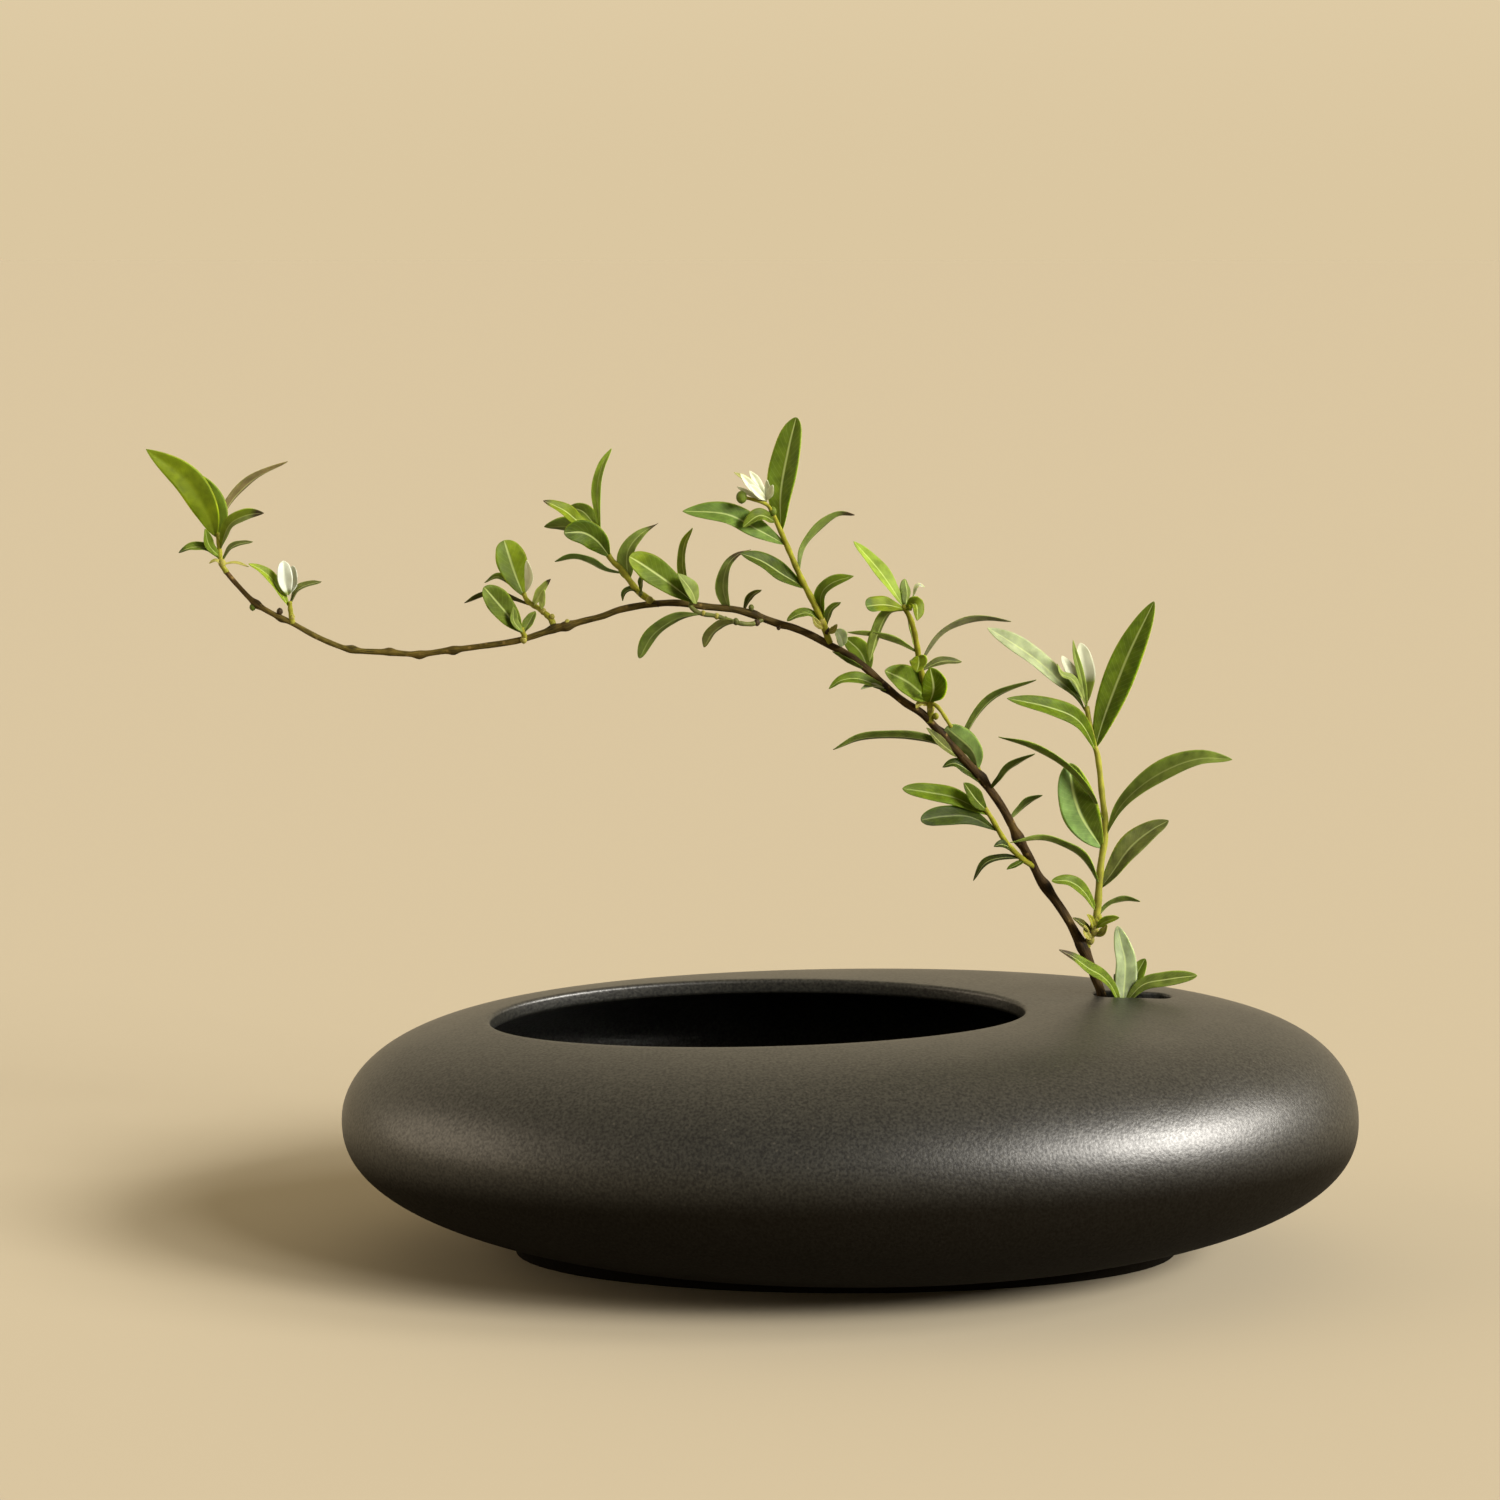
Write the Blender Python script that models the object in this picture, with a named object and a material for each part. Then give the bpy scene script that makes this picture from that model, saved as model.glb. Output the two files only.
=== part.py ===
"""Leafy branch standing in a low pebble-shaped vase.

Row frame in metres: the origin is the centre of the vase's flat foot, +Z is up,
+X runs along the long side of the vase and +Y towards its back. All design values
below are millimetres and are scaled once, when a mesh is made.
"""
import math

import bmesh
import bpy
import numpy as np

MM = 0.001
GAP = 0.3

HALF_LENGTH = 163.5
HALF_DEPTH = 104.0
EQUATOR = 45.5
RISE = 36.0
DROP = 44.7
STEP_RIGHT = 1.1
WALL = 5.0
FLOOR = 6.0

FOOT_HALF_LENGTH = 107.0
FOOT_HALF_DEPTH = 47.0
FOOT_HEIGHT = 9.0
FOOT_CHAMFER = 0.8

MOUTH_CENTRE = (-28.6, -5.1)
MOUTH_HALF_LENGTH = 85.5
MOUTH_HALF_DEPTH = 46.6

SLOT_CENTRE = (93.7, 18.3)
SLOT_HALF_LENGTH = 12.6
SLOT_HALF_WIDTH = 5.0

WATER_LEVEL = 30.0

BRANCH_FOOT_RADIUS = 2.15
BRANCH_TIP_RADIUS = 0.95
BLADE_THICKNESS = 0.7

# Course of the woody branch from its tip down to the slot in the vase.
BRANCH = [
    (-197.5, 10, 220), (-194.5, 9, 216), (-189, 7.5, 211), (-184, 6.5, 208),
    (-177, 5, 204.5), (-169, 4, 200.5), (-161.5, 3, 197.5), (-156.5, 2, 196),
    (-147, 1, 195.5), (-136, -1, 195), (-126, -2, 196.5), (-117, -3.5, 198),
    (-104.5, -5, 200), (-96, -6, 202.5), (-89.5, -6.5, 204.5), (-83.5, -7.5, 206.5),
    (-77.5, -8, 208), (-71.5, -8, 210), (-62.5, -8, 212), (-54, -8, 212), (-45, -7.5, 211),
    (-35.5, -7, 210), (-29.5, -6, 208), (-24, -5.5, 206), (-18, -4.5, 204.5),
    (-12, -3.5, 201.5), (-5.5, -2.5, 198.5), (-0.5, -1, 195.5), (5.5, 0, 190.5),
    (12, 1.5, 184.5), (18, 3, 179.5), (24.5, 5, 175), (30.5, 7, 168), (37, 9, 161),
    (43, 11, 153.5), (50, 13.5, 144), (55, 15.5, 135), (60, 17, 126), (64, 18, 118.5),
    (68.5, 18.5, 112), (72, 19, 106.5), (76, 19, 99), (79, 19, 93), (81.5, 19, 87.5),
    (83, 18.5, 83), (84.5, 18, 79),
]
# Hidden part of the branch, from the slot down to the curved wall inside the vase.
BRANCH_INSIDE = [(88, 16.6, 70), (93, 14.6, 56), (98, 12.8, 42), (102, 11.3, 28), (105.8, 10, 15.2)]
# Knobs and leaf scars along the branch: place and radius.
KNOBS = [
    (-188, 8, 210, 1.5), (-180.5, 6, 204.5, 1.5), (-157, 2.5, 197.5, 1.7), (-145, 1.5, 196.5, 1.6),
    (-135.5, -0.5, 194, 1.7), (-124.5, -2, 196, 1.6), (-93, -6, 205, 1.9), (-88.5, -7, 204.5, 1.9),
    (-29, -7, 210, 1.7), (-22, -4.5, 202.5, 1.7), (10.8, 1.3, 183.8, 1.8), (31, 7.5, 169.5, 2.0),
    (44, 11.5, 154.5, 2.1), (55.5, 16, 133, 2.3), (66, 18.5, 117.5, 2.4), (77.5, 19.5, 97, 2.7),
]

MATERIALS = {
    "CERAMIC": ("charcoal glazed ceramic", (0.045, 0.043, 0.041), 0.42),
    "WATER": ("still water", (0.02, 0.025, 0.024), 0.05),
    "BARK": ("brown bark", (0.11, 0.065, 0.04), 0.8),
    "LEAF": ("green leaf", (0.10, 0.22, 0.035), 0.5),
    "PETAL": ("white petal", (0.80, 0.82, 0.74), 0.6),
}

for old in list(bpy.data.objects):
    bpy.data.objects.remove(old, do_unlink=True)


def material(kind):
    """Principled material for one kind of surface, made once."""
    name, colour, roughness = MATERIALS[kind]
    if name in bpy.data.materials:
        return bpy.data.materials[name]
    made = bpy.data.materials.new(name)
    made.use_nodes = True
    shader = made.node_tree.nodes["Principled BSDF"]
    shader.inputs["Base Color"].default_value = (*colour, 1.0)
    shader.inputs["Roughness"].default_value = roughness
    made.diffuse_color = (*colour, 1.0)
    return made


def solid(name, points, faces, kind):
    """Object from millimetre points and faces, with outward faces and smooth shading."""
    mesh = bpy.data.meshes.new(name)
    mesh.from_pydata((np.asarray(points, float) * MM).tolist(), [], faces)
    cleaner = bmesh.new()
    cleaner.from_mesh(mesh)
    bmesh.ops.recalc_face_normals(cleaner, faces=cleaner.faces)
    cleaner.to_mesh(mesh)
    cleaner.free()
    mesh.materials.append(material(kind))
    mesh.shade_smooth()
    made = bpy.data.objects.new(name, mesh)
    bpy.context.scene.collection.objects.link(made)
    return made


def rings_solid(name, rings, kind):
    """Closed solid through rings of equal point counts, with a flat cap at each end."""
    count = len(rings[0])
    points = [p for ring in rings for p in ring]
    faces = []
    for row in range(len(rings) - 1):
        for i in range(count):
            j = (i + 1) % count
            low, high = row * count, (row + 1) * count
            faces.append((low + i, low + j, high + j, high + i))
    faces.append(tuple(range(count))[::-1])
    faces.append(tuple((len(rings) - 1) * count + i for i in range(count)))
    return solid(name, points, faces, kind)


def apply_modifiers(target):
    """Replaces the object's mesh with its evaluated mesh and drops the modifiers."""
    graph = bpy.context.evaluated_depsgraph_get()
    mesh = bpy.data.meshes.new_from_object(target.evaluated_get(graph))
    mesh.name = target.name
    target.modifiers.clear()
    target.data = mesh


def hide_tool(tool):
    """Keeps a cutting or joining helper out of the renders and the build."""
    tool.hide_render = True
    tool.display_type = "WIRE"


def boolean(target, operation, tool):
    """Exact boolean of one helper on the target; the helper is removed."""
    hide_tool(tool)
    step = target.modifiers.new(operation.lower(), "BOOLEAN")
    step.operation = operation
    step.solver = "EXACT"
    step.object = tool
    apply_modifiers(target)
    bpy.data.objects.remove(tool, do_unlink=True)


def join_all(target, others):
    """Union of the target with a list of overlapping solids, which are removed."""
    if not others:
        return
    group = bpy.data.collections.new(target.name + "_joined")
    bpy.context.scene.collection.children.link(group)
    for other in others:
        bpy.context.scene.collection.objects.unlink(other)
        group.objects.link(other)
        hide_tool(other)
    step = target.modifiers.new("union", "BOOLEAN")
    step.operation = "UNION"
    step.solver = "MANIFOLD"
    step.operand_type = "COLLECTION"
    step.collection = group
    apply_modifiers(target)
    for other in others:
        bpy.data.objects.remove(other, do_unlink=True)
    bpy.data.collections.remove(group)


def smooth_path(points, fractions):
    """Places on a Catmull-Rom curve through the points, at fractions of its length."""
    given = np.asarray(points, float)
    padded = np.vstack([2 * given[0] - given[1], given, 2 * given[-1] - given[-2]])
    fine = []
    for i in range(1, len(padded) - 2):
        a, b, c, d = padded[i - 1:i + 3]
        for t in np.linspace(0, 1, 12, endpoint=False):
            fine.append(0.5 * (2 * b + (c - a) * t + (2 * a - 5 * b + 4 * c - d) * t ** 2
                               + (3 * b - a - 3 * c + d) * t ** 3))
    fine.append(given[-1])
    fine = np.array(fine)
    run = np.concatenate([[0], np.cumsum(np.linalg.norm(np.diff(fine, axis=0), axis=1))])
    return np.column_stack([np.interp(np.asarray(fractions) * run[-1], run, fine[:, k])
                            for k in range(3)])


def unit(vector):
    """Vector or rows of vectors scaled to length one."""
    vector = np.asarray(vector, float)
    return vector / np.linalg.norm(vector, axis=-1, keepdims=True)


def tube(name, path, radii, sides, kind):
    """Round stem along a path, with frames carried along it so that it doesn't twist."""
    path = np.asarray(path, float)
    along = unit(np.gradient(path, axis=0))
    side = unit(np.cross(along[0], (0.3, 1.0, 0.2)))
    angles = np.arange(sides) * 2 * math.pi / sides
    rings = []
    for place, direction, radius in zip(path, along, radii):
        side = unit(side - direction * np.dot(side, direction))
        other = np.cross(direction, side)
        rings.append([place + radius * (math.cos(a) * side + math.sin(a) * other) for a in angles])
    return rings_solid(name, rings, kind)


def ball(name, centre, radius, kind):
    """Small closed ball of six sides and three rings."""
    centre = np.asarray(centre, float)
    rings = []
    for lift in (-62, 0, 62):
        height = radius * math.sin(math.radians(lift))
        reach = radius * math.cos(math.radians(lift))
        rings.append([centre + (reach * math.cos(a), reach * math.sin(a), height)
                      for a in np.arange(6) * math.pi / 3])
    return rings_solid(name, rings, kind)


def blade(name, points, width, turn, kind):
    """Folded leaf blade from root to tip.

    The blade is a shallow trough of constant thickness. At turn 0 its upper face looks to
    the front, at 90 it looks up and at 180 it looks to the back.
    """
    length = np.linalg.norm(np.diff(np.asarray(points, float), axis=0), axis=1).sum()
    if length > 24:
        fractions = (0, 0.12, 0.3, 0.5, 0.7, 0.88, 1)
    elif length > 12:
        fractions = (0, 0.16, 0.4, 0.64, 0.86, 1)
    else:
        fractions = (0, 0.24, 0.6, 0.86, 1)
    fractions = np.array(fractions)
    path = smooth_path(points, fractions)
    along = unit(np.gradient(path, axis=0))
    back = unit(np.array([0, 1.0, 0]) - along * along[:, 1:2])
    rise = np.cross(along, back)
    if rise[:, 2].sum() < 0:
        rise = -rise
    angle = math.radians(turn)
    upper = rise * math.sin(angle) - back * math.cos(angle)
    across = np.cross(along, upper)
    outline = (fractions ** 0.75) * (1 - fractions) ** 0.8
    outline = outline / 0.343
    half = np.maximum(0.5 * width * np.minimum(outline, 1.0), 0.4)
    fold = 0.32
    rings = []
    for i in range(len(path)):
        edge = half[i] * across[i] * math.cos(fold)
        lift = half[i] * upper[i] * math.sin(fold)
        skin = 0.5 * BLADE_THICKNESS * upper[i]
        middle = path[i]
        rings.append([middle - edge + lift - skin, middle - skin, middle + edge + lift - skin,
                      middle + edge + lift + skin, middle + skin, middle - edge + lift + skin])
    return rings_solid(name, rings, kind)


def spray(name, kind, blades, stems=(), buds=()):
    """One leafy stem or bloom: its stems, blades and buds joined into one body."""
    pieces = []
    for first, last, points in stems:
        count = max(3, 2 * len(points) - 1)
        fractions = np.linspace(0, 1, count)
        radii = first + (last - first) * fractions
        pieces.append(tube(name + "_stem", smooth_path(points, fractions), radii, 6, kind))
    for points, width, turn in blades:
        pieces.append(blade(name + "_blade", points, width, turn, kind))
    for radius, centre in buds:
        pieces.append(ball(name + "_bud", centre, radius, kind))
    whole = pieces[0]
    whole.name = name
    whole.data.name = name
    join_all(whole, pieces[1:])
    boolean(whole, "DIFFERENCE", branch_clearance())
    return whole


def branch_path():
    """Course of the branch from its cut foot inside the vase to its tip."""
    return list(reversed(BRANCH_INSIDE)) + list(reversed(BRANCH))


def branch_solid(name, extra):
    """The bare branch as one tapering tube, thicker by extra all round."""
    path = np.array(branch_path(), float)
    steps = np.linalg.norm(np.diff(path, axis=0), axis=1)
    run = np.concatenate([[0], np.cumsum(steps)]) / steps.sum()
    radii = BRANCH_FOOT_RADIUS + (BRANCH_TIP_RADIUS - BRANCH_FOOT_RADIUS) * run ** 0.9 + extra
    if extra:
        ends = unit(path[1] - path[0]), unit(path[-1] - path[-2])
        path[0] -= ends[0] * extra
        path[-1] += ends[1] * extra
    return tube(name, path, radii, 7, "BARK")


def knobs(extra):
    """The knobs and leaf scars of the branch, larger by extra all round."""
    return [ball("knob", (x, y, z), radius + extra, "BARK") for x, y, z, radius in KNOBS]


def branch_clearance():
    """The branch and its knobs, larger by the gap that every other piece keeps from them."""
    whole = branch_solid("branch_clearance", GAP)
    join_all(whole, knobs(GAP))
    return whole


def pebble(name, around, inset, kind):
    """Closed pebble: the outside of the vase, or its hollow when inset by the wall."""
    bottom = EQUATOR - DROP if inset == 0 else FLOOR + (inset - WALL)
    rings = []
    upper_rows = 12 if inset == 0 else 9
    lower_rows = 8 if inset == 0 else 7
    lifts = [-90 * (k / lower_rows) ** 1.15 for k in range(lower_rows - 1, 0, -1)]
    lifts += [90 * (k / upper_rows) ** 1.05 for k in range(upper_rows)]
    turns = np.arange(around) * 2 * math.pi / around
    for lift in lifts:
        rings.append([pebble_point(a, math.radians(lift), inset, bottom) for a in turns])
    points = [p for ring in rings for p in ring]
    points.append(pebble_point(0, -math.pi / 2, inset, bottom))
    points.append(pebble_point(0, math.pi / 2, inset, bottom))
    faces = []
    for row in range(len(rings) - 1):
        for i in range(around):
            j = (i + 1) % around
            low, high = row * around, (row + 1) * around
            faces.append((low + i, low + j, high + j, high + i))
    last = (len(rings) - 1) * around
    for i in range(around):
        j = (i + 1) % around
        faces.append((j, i, len(points) - 2))
        faces.append((last + i, last + j, len(points) - 1))
    return solid(name, points, faces, kind)


def pebble_point(turn, lift, inset, bottom):
    """Point of the pebble: a superellipse, flatter on top and blunter towards the right end."""
    cosine = math.cos(turn)
    if lift >= 0:
        flatness = 4.66 + 1.11 * cosine + 1.4 * cosine ** 2
        roundness = 2.0
        tall = RISE - inset
    else:
        flatness = 2.42
        roundness = 2.35
        tall = bottom - EQUATOR
    reach = max(math.cos(lift), 0.0) ** (2 / flatness)
    height = abs(math.sin(lift)) ** (2 / roundness)
    x = STEP_RIGHT + (HALF_LENGTH - inset) * reach * cosine
    y = (HALF_DEPTH - inset) * reach * math.sin(turn)
    return (x, y, EQUATOR + tall * height)


def ellipse(centre, half_x, half_y, z, count):
    """Ring of points on a level ellipse."""
    turns = np.arange(count) * 2 * math.pi / count
    return [(centre[0] + half_x * math.cos(a), centre[1] + half_y * math.sin(a), z) for a in turns]


def slot_ring(z):
    """Level ring with straight sides and half-round ends."""
    straight = SLOT_HALF_LENGTH - SLOT_HALF_WIDTH
    points = []
    for k in range(24):
        a = -math.pi / 2 + math.pi * (k % 12) / 11
        side = 1 if k < 12 else -1
        points.append((SLOT_CENTRE[0] + side * (straight + SLOT_HALF_WIDTH * math.cos(a)),
                       SLOT_CENTRE[1] + side * SLOT_HALF_WIDTH * math.sin(a), z))
    return points


# The vase: a hollow pebble on a low flat foot, with a wide mouth and a slot for the stem.
vase = pebble("vase", 64, 0, "CERAMIC")
foot = rings_solid("foot", [
    ellipse((0, 0), FOOT_HALF_LENGTH - FOOT_CHAMFER, FOOT_HALF_DEPTH - FOOT_CHAMFER, 0, 64),
    ellipse((0, 0), FOOT_HALF_LENGTH, FOOT_HALF_DEPTH, FOOT_CHAMFER, 64),
    ellipse((0, 0), FOOT_HALF_LENGTH, FOOT_HALF_DEPTH, FOOT_HEIGHT, 64)], "CERAMIC")
boolean(vase, "UNION", foot)
boolean(vase, "DIFFERENCE", pebble("hollow", 40, WALL, "CERAMIC"))
mouth = rings_solid("mouth", [
    ellipse(MOUTH_CENTRE, MOUTH_HALF_LENGTH, MOUTH_HALF_DEPTH, z, 64) for z in (60, 100)], "CERAMIC")
boolean(vase, "DIFFERENCE", mouth)
slot = rings_solid("slot", [slot_ring(z) for z in (60, 100)], "CERAMIC")
boolean(vase, "DIFFERENCE", slot)

# The water: fills the hollow up to its level, with a plain hole where the branch stands.
water = pebble("water", 40, WALL + GAP, "WATER")
above = rings_solid("above", [
    ellipse((0, 0), 200, 140, z, 32) for z in (WATER_LEVEL, 120)], "WATER")
boolean(water, "DIFFERENCE", above)
boolean(water, "DIFFERENCE", branch_clearance())

# The branch: one woody piece that passes the slot and is braced against the wall inside.
main_branch = branch_solid("main_branch", 0.0)
join_all(main_branch, knobs(0.0))

# Spray at the far tip: one long pointed leaf over a small rosette.
spray("spray_tip", "LEAF",
      stems=[
          (0.9, 0.75, [(-197.5, 10, 220), (-199.5, 10, 223.5), (-200, 10, 229), (-200, 10, 232.5)]),
      ],
      blades=[
          ([(-200, 10, 231.5), (-202.5, 7.5, 239.5), (-208, 5, 250.5), (-221, 2, 260)], 5.5, 30),
          ([(-200, 10.5, 229.5), (-203, 13, 241.5), (-210.5, 15.5, 252.5)], 8, 15),
          ([(-200, 11, 228.5), (-198.5, 14, 239.5), (-190.5, 18, 248.5), (-179, 22, 254.5)], 5, 120),
          ([(-199.5, 10, 227), (-196, 6.5, 235), (-190.5, 3, 238.5), (-184, 0, 240)], 5.5, 40),
          ([(-199, 10.5, 224), (-196, 13, 228), (-189.5, 15, 229.5)], 3.5, 60),
          ([(-199.5, 10, 224.5), (-203, 8, 227.5), (-207.5, 6, 228.5), (-211.5, 3, 227)], 4, 50),
          ([(-199.5, 9.5, 225), (-202.5, 7, 229), (-203.5, 5, 234.5)], 4, 45),
      ])

# Short sprig just behind the tip, beside an opening bud.
spray("spray_two", "LEAF",
      stems=[
          (0.9, 0.7, [(-176, 5, 204.5), (-177, 5, 208), (-177, 4.5, 211)]),
      ],
      blades=[
          ([(-177, 4.5, 209.5), (-182, 3, 218), (-185, 1.5, 221.5), (-189, 0, 224)], 4.5, 50),
          ([(-177, 5, 210.5), (-174, 8, 215.5), (-167.5, 11, 217)], 4, 60),
      ])

# Opening bud of the short sprig: two petals held together at the foot.
spray("bud_two", "PETAL",
      blades=[
          ([(-177, 4, 213.5), (-178.5, 2.5, 218.5), (-178.5, 3, 224.5)], 3.6, 30),
          ([(-177, 4, 213.5), (-176, 5.5, 217), (-176, 5, 222.5)], 3.4, 20),
      ])

# Low sprig of one broad leaf and two small ones.
spray("spray_three", "LEAF",
      stems=[
          (0.9, 0.8, [(-102, -5.5, 201), (-102, -7, 202.5), (-102.5, -8, 204)]),
      ],
      blades=[
          ([(-102.5, -7.5, 202.5), (-107, -10, 209), (-111, -12.5, 214), (-114, -14, 217.5)], 7.5, 30),
          ([(-102.5, -7.5, 203), (-105.5, -6.5, 206), (-105.5, -5, 211)], 3.5, 45),
          ([(-102.5, -7.5, 202.5), (-100.5, -6, 205.5), (-98.5, -4, 209)], 4.2, 35),
      ])

# Sprig with a big folded leaf and narrow side leaves.
spray("spray_four", "LEAF",
      stems=[
          (1, 0.75, [(-92.5, -6.5, 203), (-93.5, -5, 206.5), (-97, -2, 209.5), (-100, 0, 211),
               (-101.5, 1, 212), (-102.5, 2, 214)]),
      ],
      blades=[
          ([(-102.5, 2, 213), (-105.5, 3, 221), (-109, 4, 231)], 9, 20),
          ([(-102.5, 2, 213.5), (-107, 4, 217.5), (-111.5, 6, 219), (-115.5, 8, 217)], 3.6, 60),
          ([(-100, 0.5, 210.5), (-106, 3.5, 212), (-113.5, 6.5, 213.5), (-122, 9, 210.5)], 4.6, 120),
          ([(-99.5, 0, 210.5), (-97, -2.5, 214.5), (-93.5, -6, 219.5)], 4.5, 50),
          ([(-97, -2, 209.5), (-96, -5, 213), (-95.5, -7, 216)], 3.6, 45),
      ])

# Single petal standing behind the big leaf.
spray("petal_four", "PETAL",
      blades=[
          ([(-101.5, 1, 215), (-100.5, -1.5, 219.5), (-101.5, -3, 225)], 3.4, 30),
      ])

# Sprig reaching back and left with a fan of leaves on a yellow-green stem.
spray("spray_five", "LEAF",
      stems=[
          (1.1, 0.8, [(-61, -8, 212), (-63, -7, 213.5), (-66.5, -5, 216), (-71.5, -1, 222),
               (-74.5, 1, 225), (-77.5, 3, 229.5), (-79, 5, 234.5)]),
      ],
      blades=[
          ([(-79, 5, 233.5), (-80.5, 7, 246), (-78.5, 8, 253.5), (-75, 9, 259.5)], 5, 50),
          ([(-79, 4.5, 233.5), (-85, 2, 237), (-89.5, -1, 240.5), (-96, -4, 244)], 5.5, 45),
          ([(-79, 5, 233.5), (-84, 9, 239.5), (-89, 12, 240.5)], 6, 40),
          ([(-78, 3.5, 231), (-86, 8.5, 234.5), (-96.5, 13, 234.5)], 7, 140),
          ([(-75, 1.5, 226), (-79, -2, 231), (-83.5, -5, 234), (-89.5, -8, 234.5)], 7.5, 35),
          ([(-71.5, -0.5, 221), (-76.5, 1, 221.5), (-81.5, 3, 224), (-87, 5, 225),
            (-93, 7, 224)], 4.5, 125),
          ([(-69.5, -2, 219), (-69.5, 0, 227), (-65.5, 2.5, 232.5), (-60, 5, 236)], 6, 30),
          ([(-65, -6, 215), (-65, -8.5, 218.5), (-64.5, -10.5, 222)], 3, 55),
          ([(-65, -6, 215), (-68, -5, 216), (-70.5, -4, 215), (-71, -3.5, 212.5)], 3, 55),
      ])

# Thin twig below the branch, with three leaves above it and two hanging.
spray("spray_six", "LEAF",
      stems=[
          (0.75, 0.7, [(-27, -6, 207), (-30.5, -8.5, 205.5), (-35.5, -10.5, 206.5),
               (-41.5, -11.5, 208.5), (-46.5, -12, 209.5), (-49.5, -12, 211.5), (-49, -12, 213.5)]),
      ],
      blades=[
          ([(-48, -12, 212.5), (-56.5, -14.5, 219.5), (-64, -17, 225), (-68.5, -19, 227.5)], 9.5, 25),
          ([(-49, -12, 213), (-52, -9, 222), (-51.5, -7, 230), (-49, -5, 235.5)], 4.6, 50),
          ([(-48, -12, 212.5), (-49.5, -15, 216.5), (-53.5, -16.5, 222.5)], 6, 45),
          ([(-46.5, -12, 209.5), (-54, -14, 208), (-61.5, -15.5, 203.5),
            (-65.5, -16.5, 195.5)], 5.5, 145),
          ([(-34.5, -10, 206.5), (-39.5, -12, 205.5), (-43, -13.5, 203), (-45.5, -14.5, 199)], 5, 135),
      ])

# Single upright leaf with a curled tip.
spray("leaf_ae", "LEAF",
      blades=[
          ([(-37.5, -7, 210), (-39.5, -5, 216.5), (-38, -3, 223), (-35, -1, 226.5),
            (-30.5, 1, 228)], 5.5, 40),
      ])

# Single small leaf.
spray("leaf_af", "LEAF",
      blades=[
          ([(-33, -6.5, 209.5), (-30.5, -4.5, 213.5), (-27.5, -3, 216)], 3.4, 55),
      ])

# Tall middle spray, with a bud on a side stalk.
spray("spray_seven", "LEAF",
      stems=[
          (1.15, 0.8, [(-6, -2.5, 199), (-7.5, -4, 203.5), (-9, -6, 207.5), (-12, -9, 214.5),
               (-15, -11, 220), (-18.5, -14, 228), (-22, -16, 236), (-24, -17.5, 240.5)]),
          (0.6, 0.55, [(-23, -17, 239.5), (-25.5, -19.5, 243.5), (-29, -22, 245.5),
               (-33, -23.5, 246.5)]),
      ],
      blades=[
          ([(-21.5, -16, 235), (-21.5, -15, 247.5), (-19, -12, 261.5), (-16.5, -10, 270.5)], 9.5, 20),
          ([(-20, -14.5, 231), (-29, -18.5, 236), (-38.5, -22, 241), (-51.5, -25, 242.5)], 8, 30),
          ([(-23, -17, 238.5), (-28, -22.5, 241), (-33, -27, 237.5)], 5, 40),
          ([(-15.5, -12, 222.5), (-14.5, -9, 229.5), (-10, -6, 235), (-3.5, -3, 239.5),
            (2, 0, 239)], 5, 125),
          ([(-13, -10, 217), (-20.5, -13, 221.5), (-27.5, -16, 226), (-34, -18.5, 228.5)], 7, 40),
          ([(-8, -5, 206), (-9, -8, 214), (-5.5, -9.5, 218.5), (1.5, -11, 221)], 5.5, 45),
          ([(-7, -4, 203.5), (-5.5, -3, 209), (-2.5, -2, 212)], 4, 55),
          ([(-8, -5, 205.5), (-12, -8, 208.5), (-15.5, -10, 209), (-19.5, -12, 207)], 4, 50),
      ],
      buds=[(1.5, (-33.5, -23.5, 246.5))])

# Flower of the middle spray: five petals joined at the centre.
spray("bloom_seven", "PETAL",
      blades=[
          ([(-26, -20, 245.5), (-30.5, -22.5, 249.5), (-34, -23, 253.5)], 3, 20),
          ([(-26, -20, 245.5), (-29, -19, 251), (-31, -18.5, 254.5)], 3, 20),
          ([(-26, -20.5, 245.5), (-24.5, -22.5, 248), (-24, -24, 250.5)], 2.6, 20),
          ([(-26, -20.5, 245.5), (-29, -24.5, 248), (-31.5, -26.5, 250.5)], 2.8, 30),
          ([(-26, -20, 245.5), (-31.5, -20.5, 251.5), (-36, -20, 254)], 2.2, 25),
      ])

# Small pale leaf on the upper side of the branch.
spray("leaf_ap", "LEAF",
      blades=[
          ([(-2.5, -1.5, 196.5), (-3, -5, 201), (-2, -7, 203.5), (0, -8.5, 202.5)], 5, 35),
      ])

# Broad leaf behind the branch.
spray("leaf_aq", "LEAF",
      blades=[
          ([(6.5, 0.5, 189), (4, 4, 195.5), (-0.5, 8, 199.5)], 7.5, 30),
      ])

# Narrow leaf lying below the branch.
spray("leaf_strip", "LEAF",
      blades=[
          ([(5.5, -0.5, 190), (0, -4, 193), (-5, -5.5, 196.5)], 3.4, 120),
      ])

# Two small leaves below the branch.
spray("leaf_as", "LEAF",
      blades=[
          ([(13, 2, 183), (9, -1.5, 185.5), (3.5, -3.5, 187.5), (-2, -5.5, 187.5),
            (-6.5, -7.5, 185)], 5, 50),
          ([(11.5, 0, 184.5), (7.5, -3, 185.5), (4, -5, 184.5)], 2.6, 60),
      ])

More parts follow.
